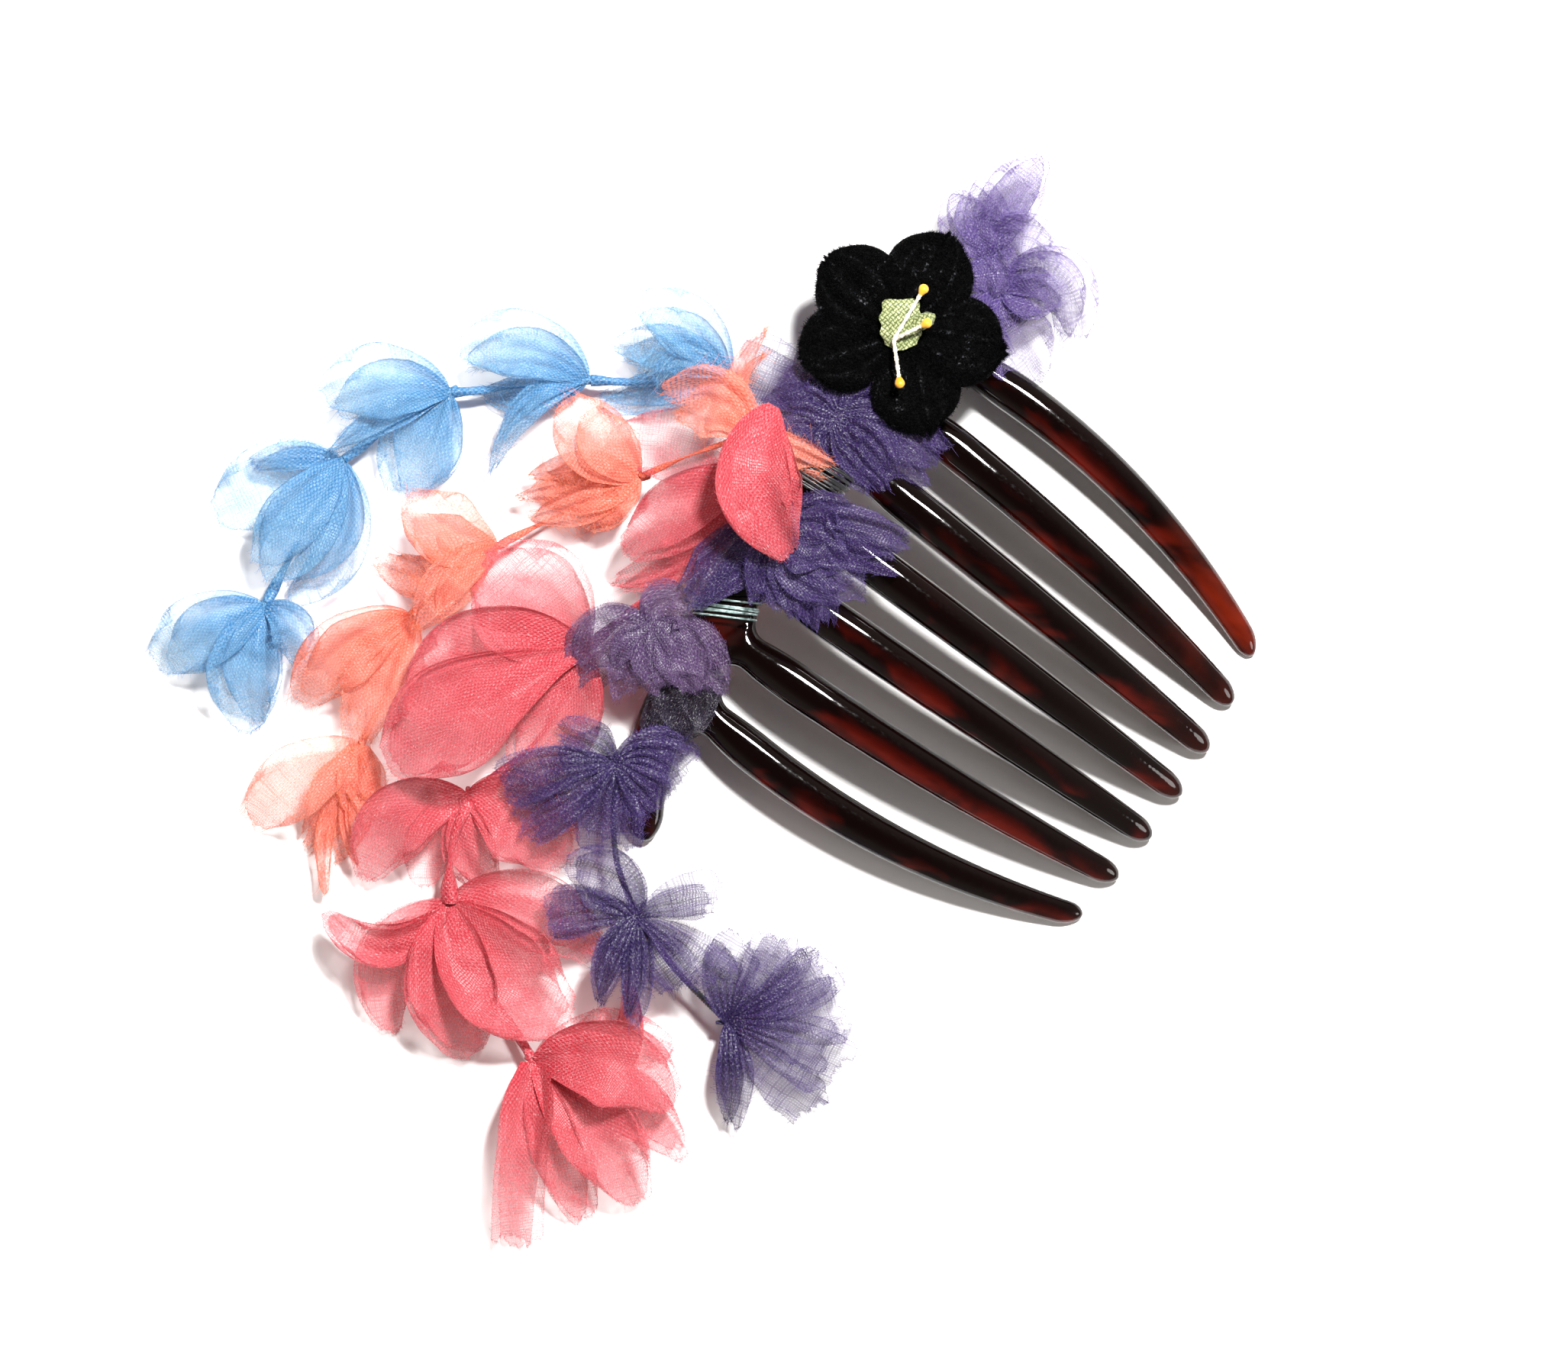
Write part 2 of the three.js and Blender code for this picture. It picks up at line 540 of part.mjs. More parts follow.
// The blossoms, from the topmost neck down.
const byHeight = Object.entries(BLOSSOMS).sort(([, a], [, b]) => b.at[2] - a.at[2]);
for (const [name, blossom] of byHeight) {
  const strand = strands[name.split('_')[0]] ?? violetStrand;
  addTo(strand, name, cutBy(blossomSolid(blossom), taken), blossom.at);
  taken.push(blossomSolid(blossom, GAP));
}

// The row's origin is below the middle of the whole, on the surface that it lies on.
const pieces = new THREE.Group();
pieces.add(combStrand, flowerStrand, violetStrand, ...Object.values(strands));
const extent = new THREE.Box3().setFromObject(pieces);
const middle = extent.getCenter(new THREE.Vector3());
pieces.position.set(-middle.x, -middle.y, -extent.min.z);

const hairComb = new THREE.Group();
hairComb.add(pieces);

export default hairComb;
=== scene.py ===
"""Looks of a decorative hair comb.

A moulded seven-tooth side comb whose spine carries wired strands of organza blossoms and one velvet flower,
bound on with thread. All shapes are written in millimetres and all colours are linear.
"""

import json
import math

import bmesh
import bpy
import numpy as np
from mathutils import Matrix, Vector


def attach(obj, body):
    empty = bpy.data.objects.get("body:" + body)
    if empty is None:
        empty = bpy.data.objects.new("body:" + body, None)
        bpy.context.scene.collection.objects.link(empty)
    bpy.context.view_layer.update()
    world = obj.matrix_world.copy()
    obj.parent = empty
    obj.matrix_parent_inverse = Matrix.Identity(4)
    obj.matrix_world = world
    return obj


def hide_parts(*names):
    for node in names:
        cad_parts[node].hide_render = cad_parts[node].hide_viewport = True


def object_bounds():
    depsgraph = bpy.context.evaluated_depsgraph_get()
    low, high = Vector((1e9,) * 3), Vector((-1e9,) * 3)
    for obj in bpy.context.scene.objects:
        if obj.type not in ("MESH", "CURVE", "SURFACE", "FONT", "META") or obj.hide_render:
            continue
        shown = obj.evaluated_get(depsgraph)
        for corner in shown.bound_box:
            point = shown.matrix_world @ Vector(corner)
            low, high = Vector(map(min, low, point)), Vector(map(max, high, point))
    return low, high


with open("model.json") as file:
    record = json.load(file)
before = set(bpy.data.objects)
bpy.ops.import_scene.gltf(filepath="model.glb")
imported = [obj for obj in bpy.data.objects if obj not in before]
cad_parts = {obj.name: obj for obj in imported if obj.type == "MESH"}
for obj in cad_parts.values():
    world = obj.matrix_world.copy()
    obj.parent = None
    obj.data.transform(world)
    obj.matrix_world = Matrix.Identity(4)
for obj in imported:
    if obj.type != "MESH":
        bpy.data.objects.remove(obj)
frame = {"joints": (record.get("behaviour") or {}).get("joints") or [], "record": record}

scene = bpy.context.scene
cad_low, cad_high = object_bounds()

# ---- frame
# Shapes below are written in the part's own millimetres. SHIFT carries them into the row frame.
record = frame["record"]
BODY_OF = {n: b for b, nodes in record["behaviour"]["bodies"].items() for n in nodes}
JOINT_AT = {j["name"]: np.array(j["pos_m"]) * 1000 for j in frame["joints"]}
SHIFT = JOINT_AT["blue_wire_bend_2"] - np.array([-0.8, 48.5, 5.0])
UP = np.array([0.0, 0.0, 1.0])
FLOOR_Z = -SHIFT[2]  # the surface that it lies on, in the part's millimetres


def arr(*values):
    return np.array(values, float)


def unit(v):
    return v / np.maximum(np.linalg.norm(v, axis=-1, keepdims=True), 1e-9)


def within(v):
    """v, held between 0 and 1."""
    return np.clip(v, 0, 1)


def turned(angle):
    a = math.radians(angle)
    return arr(math.cos(a), math.sin(a), 0)


# ---- camera, light, floor
VIEW_TURN = math.radians(-54)
FRAME_WIDTH, FRAME_HEIGHT_AT = 0.250, 0.008  # what the picture shows across, at this height above the floor
LENS, SENSOR = 150.0, 36.0
CAMERA_OFFSET = (0.0029, -0.0151)  # from the middle of the CAD box, as the photo is framed
centre = (cad_low + cad_high) / 2
camera_data = bpy.data.cameras.new("camera")
camera_data.lens = LENS
camera_data.sensor_width = SENSOR
camera_data.clip_start, camera_data.clip_end = 0.05, 20
camera = bpy.data.objects.new("camera", camera_data)
camera.location = (
    centre.x + CAMERA_OFFSET[0], centre.y + CAMERA_OFFSET[1], FRAME_HEIGHT_AT + FRAME_WIDTH * LENS / SENSOR,
)
camera.rotation_euler = (0, 0, VIEW_TURN)
scene.collection.objects.link(camera)
scene.camera = camera
scene.view_settings.view_transform = "Standard"
scene.cycles.transparent_max_bounces = 40
scene.cycles.max_bounces = 10


# name: direction from the middle of the part, distance, size, power, colour
LIGHTS = {
    "key": ((0.46, 0.04, 0.89), 0.9, 0.13, 19.5, (1.0, 0.992, 0.98)),
    "fill": ((-0.62, 0.62, 0.50), 1.1, 0.7, 1.3, (1.0, 0.96, 0.92)),
    "rim": ((0.25, -0.85, 0.45), 1.1, 0.35, 2.2, (1.0, 0.99, 0.97)),
}


def area_light(name, towards, distance, size, power, colour):
    data = bpy.data.lights.new(name, "AREA")
    data.shape = "DISK"
    data.size = size
    data.energy = power
    data.color = colour
    lamp = bpy.data.objects.new(name, data)
    direction = unit(arr(*towards))
    lamp.location = (np.array([centre.x, centre.y, 0]) + direction * distance).tolist()
    lamp.rotation_euler = Vector(direction.tolist()).to_track_quat("Z", "Y").to_euler()
    scene.collection.objects.link(lamp)


for lamp_name, lamp_facts in LIGHTS.items():
    area_light(lamp_name, *lamp_facts)

# the sky's colour at shares of its height, from the horizon to overhead
SKY = {0.0: (1.0, 0.90, 0.84, 1), 0.72: (0.62, 0.54, 0.50, 1), 0.97: (0.06, 0.058, 0.058, 1)}
SKY_STRENGTH = 0.42


def studio_world():
    """A room that is dim overhead and bright round the sides, as a light tent with an open top."""
    made = bpy.data.worlds.new("studio")
    made.use_nodes = True
    tree = made.node_tree
    place = tree.nodes.new("ShaderNodeTexCoord")
    parts = tree.nodes.new("ShaderNodeSeparateXYZ")
    ramp = tree.nodes.new("ShaderNodeValToRGB")
    stops = ramp.color_ramp.elements
    stops.new(list(SKY)[1])
    for stop, (height, colour) in zip(stops, SKY.items()):
        stop.position, stop.color = height, colour
    tree.links.new(place.outputs["Generated"], parts.inputs[0])
    tree.links.new(parts.outputs["Z"], ramp.inputs[0])
    tree.links.new(ramp.outputs["Color"], tree.nodes["Background"].inputs["Color"])
    tree.nodes["Background"].inputs["Strength"].default_value = SKY_STRENGTH
    return made


scene.world = studio_world()


# ---- materials
class Graph:
    """A short way to write a material's nodes. Values that are sockets are linked."""

    def __init__(self, name):
        self.material = bpy.data.materials.new(name)
        self.material.use_nodes = True
        self.tree = self.material.node_tree
        self.tree.nodes.clear()

    def add(self, kind, inputs=None, **settings):
        made = self.tree.nodes.new("ShaderNode" + kind)
        for key, value in settings.items():
            setattr(made, key, value)
        for key, value in (inputs or {}).items():
            if isinstance(value, bpy.types.NodeSocket):
                self.tree.links.new(value, made.inputs[key])
            else:
                made.inputs[key].default_value = value
        return made

    def math(self, operation, a, b=0.0, clamp=False):
        return self.add("Math", {0: a, 1: b}, operation=operation, use_clamp=clamp).outputs[0]

    def times(self, a, b):
        return self.math("MULTIPLY", a, b)

    def plus(self, a, b, clamp=False):
        return self.math("ADD", a, b, clamp)

    def minus(self, a, b, clamp=False):
        return self.math("SUBTRACT", a, b, clamp)

    def mix(self, share, a, b):
        made = self.add("Mix", {0: share}, data_type="RGBA")
        for slot, value in ((6, a), (7, b)):
            if isinstance(value, bpy.types.NodeSocket):
                self.tree.links.new(value, made.inputs[slot])
            else:
                made.inputs[slot].default_value = (*value, 1)
        return made.outputs[2]

    def between(self, value, low, high, to_low=0.0, to_high=1.0):
        inputs = {"Value": value, "From Min": low, "From Max": high, "To Min": to_low, "To Max": to_high}
        return self.add("MapRange", inputs, interpolation_type="SMOOTHSTEP").outputs[0]

    def noise(self, scale, vector=None, detail=2.0, distortion=0.0):
        inputs = {"Scale": scale, "Detail": detail, "Distortion": distortion}
        if vector is not None:
            inputs["Vector"] = vector
        return self.add("TexNoise", inputs).outputs["Fac"]

    def place(self):
        return self.add("TexCoord").outputs["Object"]

    def tone(self):
        return self.add("Attribute", attribute_name="tone").outputs["Fac"]

    def bump(self, height, strength, distance):
        return self.add("Bump", {"Height": height, "Strength": strength, "Distance": distance}).outputs[0]

    def principled(self, colour, roughness, more):
        inputs = {"Base Color": colour, "Roughness": roughness, **more}
        return self.add("BsdfPrincipled", inputs).outputs[0]

    def finish(self, shader):
        out = self.tree.nodes.new("ShaderNodeOutputMaterial")
        self.tree.links.new(shader, out.inputs["Surface"])
        return self.material


WARP, WEFT = 0.84, 1.2  # a cloth's thread spacing each way, as a share of its pitch
GLINT = (0.93, 0.92, 0.93)  # colour of a thread that catches the light
TRANSLUCENT = 0.35


def sheer(name, deep, pale, pitch, opacity, gap, glint=0.5, sheen=0.12, rough=0.4):
    """Woven cloth of fine threads, pitch mm apart, with open gaps.

    UV is in millimetres of cloth; "tone" is 1 where the cloth is gathered and 0 where it is flat.
    """
    g = Graph(name)
    uv = g.add("UVMap", uv_map="UVMap").outputs[0]
    tone = g.tone()
    parts = g.add("SeparateXYZ", {0: uv})
    wander = g.times(g.minus(g.noise(0.2, uv, 3.0), 0.5), 3.4)
    cover, over, lines = [], [], []
    for axis in (0, 1):
        line = g.plus(g.math("DIVIDE", parts.outputs[axis], pitch * (WARP, WEFT)[axis]), wander)
        fold = g.math("ABSOLUTE", g.minus(g.math("FRACT", line), 0.5))
        each = g.add("TexWhiteNoise", {"W": g.math("FLOOR", line)}, noise_dimensions="1D").outputs["Value"]
        cover.append(g.times(g.between(fold, 0.43, 0.2), g.between(each, 0, 1, 0.6, 1.0)))
        over.append(g.math("SINE", g.times(line, math.pi)))
        lines.append(each)
    threads = g.math("MAXIMUM", cover[0], cover[1])
    cross = g.between(g.times(over[0], over[1]), -0.5, 0.5)
    cloud = g.noise(0.15, uv, 4.0)
    filled = g.plus(g.times(threads, 1 - gap), gap)
    thin = g.times(filled, g.between(cloud, 0.3, 0.7, opacity * 0.85, opacity * 1.12))
    gathered = g.times(tone, g.minus(0.97, thin))
    alpha = g.plus(thin, gathered, True)
    shade = g.plus(g.times(tone, 0.52), g.times(g.between(cloud, 0.25, 0.75), 0.22))
    shade = g.plus(shade, g.times(cross, 0.42))
    shade = g.minus(shade, g.times(g.between(lines[0], 0.75, 1.0), 0.22), True)
    streak = g.add("Mapping", {"Vector": uv, "Scale": (6.5, 2.0, 1.0)}).outputs[0]
    # painted highlight: in streaky patches the threads are lightened towards GLINT, as glints of light
    painted_light = g.times(g.between(g.noise(1.0, streak, 1.0), 0.56, 0.74), g.times(threads, glint))
    colour = g.mix(painted_light, g.mix(shade, pale, deep), GLINT)
    height = g.plus(threads, g.times(cross, 0.8))
    bump = g.bump(height, 0.55, 0.00016)
    body = g.principled(colour, rough, {"Sheen Weight": sheen, "Sheen Roughness": 0.4, "Normal": bump})
    through = g.add("BsdfTranslucent", {"Color": colour, "Normal": bump}).outputs[0]
    cloth = g.add("MixShader", {0: TRANSLUCENT, 1: body, 2: through}).outputs[0]
    clear = g.add("BsdfTransparent").outputs[0]
    return g.finish(g.add("MixShader", {0: alpha, 1: clear, 2: cloth}).outputs[0])


def fibre(name, dark, light, rough=0.55, sheen=0.2, scale=900.0, translucent=0.0, tone=False):
    """Thread, or cloth that is twisted into a cord."""
    g = Graph(name)
    place = g.place()
    fine = g.noise(scale, place, 3.0)
    wide = g.noise(scale / 9, place, 2.0)
    share = g.plus(g.times(fine, 0.7), g.times(wide, 0.5), True)
    # painted shade and highlight: with tone, the colour is darkened in the hollows between strands and
    # lightened on their crowns
    if tone:  # "tone" is 1 on the crown of a strand and 0 in the hollow between strands
        share = g.times(share, g.tone())
    colour = g.mix(g.between(share, 0.25 if tone else 0.35, 0.85), dark, light)
    bump = g.bump(fine, 0.5, 0.00015)
    glossy = g.between(fine, 0.3, 0.7, rough * 0.8, min(1.0, rough * 1.2))
    body = g.principled(colour, glossy, {"Sheen Weight": sheen, "Normal": bump})
    if translucent:
        through = g.add("BsdfTranslucent", {"Color": colour}).outputs[0]
        body = g.add("MixShader", {0: translucent, 1: body, 2: through}).outputs[0]
    return g.finish(body)


def tortoiseshell():
    g = Graph("tortoiseshell")
    place = g.place()
    amber = g.tone()
    facing = g.add("SeparateXYZ", {0: g.add("NewGeometry").outputs["Normal"]}).outputs[0]
    place = g.add("Mapping", {"Vector": place, "Scale": (1.0, 0.42, 1.0)}).outputs[0]
    mottle = g.noise(110.0, place, 3.0, 0.6)
    streak = g.noise(230.0, place, 2.0, 0.4)
    clouds = g.plus(g.times(mottle, 0.75), g.times(streak, 0.25))
    # painted light: the mottled clear patches are the plastic's own, but their red-brown glow, brightest on
    # flanks facing away from the key light (-X), is painted
    painted_glow = g.between(facing, 0.25, -0.75)
    painted_light = g.times(g.between(clouds, 0.49, 0.64), g.plus(g.times(painted_glow, 0.85), 0.012))
    # near-black plastic, with the painted red-brown glow mixed in
    dark = g.mix(painted_light, (0.0022, 0.0008, 0.0007), (0.105, 0.005, 0.002))
    warm = g.mix(g.between(clouds, 0.40, 0.66), (0.014, 0.0012, 0.001), (0.16, 0.012, 0.003))
    colour = g.mix(amber, dark, warm)
    wear = g.noise(2600.0, place, 2.0)
    bump = g.bump(g.noise(320.0, place, 1.0), 0.05, 0.0004)
    gloss = g.between(wear, 0.3, 0.8, 0.035, 0.10)
    surface = {"IOR": 1.38, "Coat Weight": 0.12, "Coat Roughness": 0.02, "Normal": bump}
    return g.finish(g.principled(colour, gloss, surface))


def velvet():
    g = Graph("velvet")
    place = g.place()
    pile = g.noise(2400.0, place, 3.0)
    crush = g.noise(330.0, place, 4.0, 0.8)
    # painted sheen: where the pile is crushed it is painted light grey in specks; the crush pattern itself
    # is the pile's own
    share = g.times(g.between(pile, 0.55, 0.72), g.between(crush, 0.56, 0.72))
    # painted highlight along the creases that the petals' tone marks
    crease = g.times(g.tone(), g.between(pile, 0.47, 0.68))
    share = g.plus(share, g.times(crease, 1.3), True)
    colour = g.mix(share, (0.0005, 0.0005, 0.0007), (0.13, 0.135, 0.15))
    height = g.plus(pile, g.times(crush, 1.5))
    bump = g.bump(height, 0.9, 0.0005)
    nap = g.between(pile, 0.3, 0.7, 0.45, 0.9)
    surface = {"Specular IOR Level": 0.05, "Sheen Weight": 0.015, "Sheen Roughness": 0.3, "Normal": bump}
    return g.finish(g.principled(colour, nap, surface))


def floor_material():
    g = Graph("studio_floor")
    place = g.place()
    colour = g.mix(g.between(g.noise(9.0, place, 4.0), 0.3, 0.7), (0.93, 0.93, 0.93), (0.955, 0.953, 0.95))
    return g.finish(g.principled(colour, 0.7, {}))


# deep and pale colour, pitch in mm, opacity of a single layer, how filled the gaps are
MATERIAL = {
    "blue": sheer("blue_organza", (0.036, 0.20, 0.45), (0.26, 0.53, 0.74), 0.40, 0.53, 0.09),
    "coral": sheer("coral_crepe", (0.80, 0.135, 0.065), (0.90, 0.36, 0.28), 0.42, 0.68, 0.2, rough=0.5),
    "pink": sheer("pink_organza", (0.54, 0.029, 0.050), (0.80, 0.185, 0.22), 0.38, 0.54, 0.10),
    "violet": sheer(
        "violet_organza", (0.014, 0.006, 0.058), (0.080, 0.043, 0.19), 0.40, 0.66, 0.09, 0.32, sheen=0.04,
    ),
    "lilac": sheer("lilac_organza", (0.060, 0.032, 0.175), (0.21, 0.145, 0.38), 0.41, 0.56, 0.04),
    "plum": sheer("plum_organza", (0.042, 0.018, 0.075), (0.18, 0.10, 0.24), 0.41, 0.7, 0.12, sheen=0.04),
    "dark": sheer("dark_organza", (0.005, 0.003, 0.008), (0.05, 0.038, 0.075), 0.41, 0.78, 0.08, sheen=0.02),
}
FIBRE = {
    "blue": fibre("blue_thread", (0.05, 0.25, 0.58), (0.20, 0.52, 0.84), translucent=0.3),
    "coral": fibre("coral_thread", (0.85, 0.17, 0.06), (0.98, 0.38, 0.20), translucent=0.3),
    "pink": fibre("pink_thread", (0.70, 0.05, 0.09), (0.93, 0.20, 0.24), translucent=0.3),
    "violet": fibre("violet_thread", (0.03, 0.015, 0.12), (0.13, 0.08, 0.32), translucent=0.2, sheen=0.05),
    "lilac": fibre("lilac_thread", (0.10, 0.06, 0.30), (0.28, 0.20, 0.52), translucent=0.3),
    "plum": fibre("plum_thread", (0.07, 0.03, 0.13), (0.19, 0.10, 0.28), translucent=0.2),
    "dark": fibre("dark_sheer_thread", (0.010, 0.009, 0.018), (0.06, 0.05, 0.09), translucent=0.1),
    "wire": fibre("black_wrapping", (0.004, 0.004, 0.006), (0.045, 0.045, 0.055), rough=0.45),
    "teal": fibre("silver_teal_thread", (0.010, 0.030, 0.030), (0.34, 0.47, 0.45), rough=0.2, scale=1500.0),
    "black": fibre("dark_binding_thread", (0.012, 0.018, 0.020), (0.12, 0.15, 0.155), rough=0.25),
    "bound": fibre("black_binding_thread", (0.002, 0.002, 0.003), (0.014, 0.015, 0.018), rough=0.35),
    "stamen": fibre("stamen_thread", (0.55, 0.47, 0.33), (0.92, 0.87, 0.74), rough=0.7),
    "pollen": fibre("pollen_head", (0.62, 0.25, 0.006), (0.88, 0.48, 0.03), rough=0.3, scale=500.0),
    "green": fibre(
        "green_ribbon", (0.075, 0.11, 0.022), (0.56, 0.58, 0.30), rough=0.35, scale=1300.0, tone=True,
    ),
}
SLOT = {
    "blue": "blue_organza", "coral": "coral_crepe", "pink": "pink_organza", "violet": "violet_organza",
    "lilac": "lilac_organza", "plum": "plum_organza", "dark": "dark_organza", "wire": "black_wrapped_wire",
    "teal": "silver_teal_thread", "black": "dark_thread", "bound": "dark_thread",
    "stamen": "stamen_thread", "pollen": "stamen_thread", "green": "green_weave",
    "velvet": "black_velvet", "comb": "tortoiseshell_plastic",
}


# ---- meshes
def crosswise(path, axis):
    """Two directions across a path (or many of them), which runs along the axis of that number."""
    along = unit(np.gradient(path, axis=axis))
    side = unit(np.cross(along, UP) + 1e-6 * arr(1, 0.3, 0))
    return side, np.cross(side, along)


class Piece:
    """Quads gathered from grids and tubes, made into one object."""

    def __init__(self):
        self.points, self.quads, self.uv, self.tone, self.count = [], [], [], [], 0

    def grid(self, points, uv=None, tone=None, round_rows=False):
        rows, columns = points.shape[:2]
        number = np.arange(rows * columns).reshape(rows, columns) + self.count
        right = np.roll(number, -1, axis=1) if round_rows else number[:, 1:]
        left = number if round_rows else number[:, :-1]
        quads = np.stack([left[:-1], right[:-1], right[1:], left[1:]], axis=-1).reshape(-1, 4)
        flat = rows * columns
        self.points.append(points.reshape(-1, 3))
        self.quads.append(quads)
        self.uv.append(np.zeros((flat, 2)) if uv is None else uv.reshape(-1, 2))
        tone = 1.0 if tone is None else tone
        self.tone.append(np.broadcast_to(tone, (rows, columns)).reshape(-1))
        self.count += flat

    def tube(self, path, radius, sides=8, lobes=0, depth=0.0, twist=0.0):
        """A tube with closed ends. Its section may have lobes that wind round it, twist turns in all."""
        path = np.asarray(path, float)
        radius = np.broadcast_to(np.asarray(radius, float), (len(path),))
        side, top = crosswise(path, 0)
        turn = np.linspace(0, 2 * np.pi, sides, endpoint=False)[None, :]
        wound = lobes * (turn + 2 * np.pi * twist * np.linspace(0, 1, len(path))[:, None])
        reach = radius[:, None] * (1 + depth * np.cos(wound)) if lobes else radius[:, None] + 0 * turn
        ring = side[:, None] * np.cos(turn)[..., None] + top[:, None] * np.sin(turn)[..., None]
        rings = path[:, None] + ring * reach[..., None]
        ends = [path[:1, None] + 0 * rings[:1], path[-1:, None] + 0 * rings[-1:]]
        gone = length_along(path)
        gone = np.concatenate([gone[:1], gone, gone[-1:]])[:, None]
        rings = np.concatenate([ends[0], rings, ends[1]])
        uv = np.stack([turn * radius.mean() + 0 * gone, gone + 0 * turn], axis=-1)
        self.grid(rings, uv, round_rows=True)

    def hairs(self, paths, radius, tone=1.0):
        """Many fine threads at once: paths is (threads, steps, 3)."""
        steps = paths.shape[1]
        side, top = crosswise(paths, 1)
        taper = radius * np.linspace(1.0, 0.55, steps)[None, :, None, None]
        turn = arr(0, 2.094, 4.189)[None, None, :, None]
        around = side[:, :, None] * np.cos(turn) + top[:, :, None] * np.sin(turn)
        rings = paths[:, :, None] + taper * around
        number = np.arange(rings[..., 0].size).reshape(rings.shape[:3]) + self.count
        right = np.roll(number, -1, axis=2)
        quads = np.stack([number[:, :-1], right[:, :-1], right[:, 1:], number[:, 1:]], axis=-1)
        self.points.append(rings.reshape(-1, 3))
        self.quads.append(quads.reshape(-1, 4))
        self.uv.append(np.zeros((rings[..., 0].size, 2)))
        self.tone.append(np.full(rings[..., 0].size, tone))
        self.count += rings[..., 0].size

    def area(self):
        points, quads = np.concatenate(self.points), np.concatenate(self.quads)
        a, b, c, d = (points[quads[:, k]] for k in range(4))
        halves = [np.linalg.norm(np.cross(p - a, q - a), axis=1) for p, q in ((b, c), (c, d))]
        return 0.5 * (halves[0] + halves[1]).sum()

    def make(self, node, part, material, strand, in_place=True, merge=0.0):
        """One piece, on its node's body. It stands for the node unless in_place is false."""
        name, body, slot = f"{node}_{part}", BODY_OF[node], SLOT[strand]
        replaces = [node] if in_place else []
        points = (np.concatenate(self.points) + SHIFT) / 1000
        quads = np.concatenate(self.quads)
        mesh = bpy.data.meshes.new(name)
        mesh.vertices.add(len(points))
        mesh.vertices.foreach_set("co", points.astype(np.float32).ravel())
        mesh.loops.add(quads.size)
        mesh.loops.foreach_set("vertex_index", quads.astype(np.int32).ravel())
        mesh.polygons.add(len(quads))
        mesh.polygons.foreach_set("loop_start", np.arange(0, quads.size, 4, dtype=np.int32))
        mesh.polygons.foreach_set("loop_total", np.full(len(quads), 4, np.int32))
        mesh.polygons.foreach_set("use_smooth", np.ones(len(quads), bool))
        mesh.update(calc_edges=True)
        layer = mesh.uv_layers.new(name="UVMap")
        layer.data.foreach_set("uv", np.concatenate(self.uv)[quads.ravel()].astype(np.float32).ravel())
        tones = mesh.attributes.new("tone", "FLOAT", "POINT")
        tones.data.foreach_set("value", np.concatenate(self.tone).astype(np.float32))
        if merge:
            shape = bmesh.new()
            shape.from_mesh(mesh)
            bmesh.ops.remove_doubles(shape, verts=shape.verts, dist=merge / 1000)
            shape.to_mesh(mesh)
            shape.free()
        mesh.validate()
        mesh.materials.append(material)
        made = bpy.data.objects.new(name, mesh)
        scene.collection.objects.link(made)
        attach(made, body)
        if replaces:
            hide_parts(*replaces)
        return made


def length_along(line):
    return np.concatenate([[0], np.cumsum(np.linalg.norm(np.diff(line, axis=0), axis=1))])


def looked_up(at, gone, values):
    return np.stack([np.interp(at, gone, values[:, k]) for k in range(3)], axis=1)


def curve_through(points, steps):
    """A smooth curve through the points, at even spacing."""
    points = np.array(points, float)
    ghost = np.concatenate([[2 * points[0] - points[1]], points, [2 * points[-1] - points[-2]]])
    line = []
    for a, b, c, d in zip(ghost, ghost[1:], ghost[2:], ghost[3:]):
        u = np.linspace(0, 1, 24, endpoint=False)[:, None]
        square, cube = 2 * a - 5 * b + 4 * c - d, 3 * b - a - 3 * c + d
        line.append(0.5 * (2 * b + (c - a) * u + square * u**2 + cube * u**3))
    line = np.concatenate([*line, points[-1:]])
    gone = length_along(line)
    return looked_up(np.linspace(0, gone[-1], steps), gone, line)


# ---- the comb
TEETH, TOOTH_PITCH, TOOTH_WIDTH, TOOTH_HEIGHT = 7, 11.5, 6.9, 4.0
NOTCH_RADIUS, TIP_PITCH, TIP_X, TIP_Y = 2.85, 8.4, 1.5, -67.7
MIDDLE = TEETH // 2  # teeth are counted from +X
SPINE_X, SPINE_Y, REACH_LEFT, REACH_RIGHT = 2.3, 9.9, 57.2, 48.5
SPINE_WIDTH, SPINE_HEIGHT, SPINE_LOW_Z, SPINE_RISE = 9.0, 4.0, 2.2, 11.8
NOTCH_TOP = 2.2  # how far below a tooth's start its round notch begins
SWELL = 8.0  # the length over which a tooth widens below its notch
TIP_START = 0.955  # the share of a tooth after which its tip is rounded
VOXEL = 0.00038  # metres; finer than this the comb has too many faces to export whole
# for each tooth from +X: how far its clear tip reaches up, and how clear it is
AMBER_REACH, AMBER = [30, 26, 18, 6, 4, 4, 4], [0.8, 0.22, 0.16, 0.1, 0.06, 0.06, 0.06]


def spine_axis(t):
    t = np.asarray(t, float)
    x = SPINE_X + t * np.where(t < 0, REACH_LEFT, REACH_RIGHT)
    y = SPINE_Y - 6 * t**2 - 6.5 * t**8
    z = SPINE_LOW_Z + SPINE_RISE * np.cos(0.93 * t * np.pi / 2) ** 2
    return np.stack([x, y, z], axis=-1)


def spine_share(x):
    return (x - SPINE_X) / (REACH_LEFT if x < SPINE_X else REACH_RIGHT)


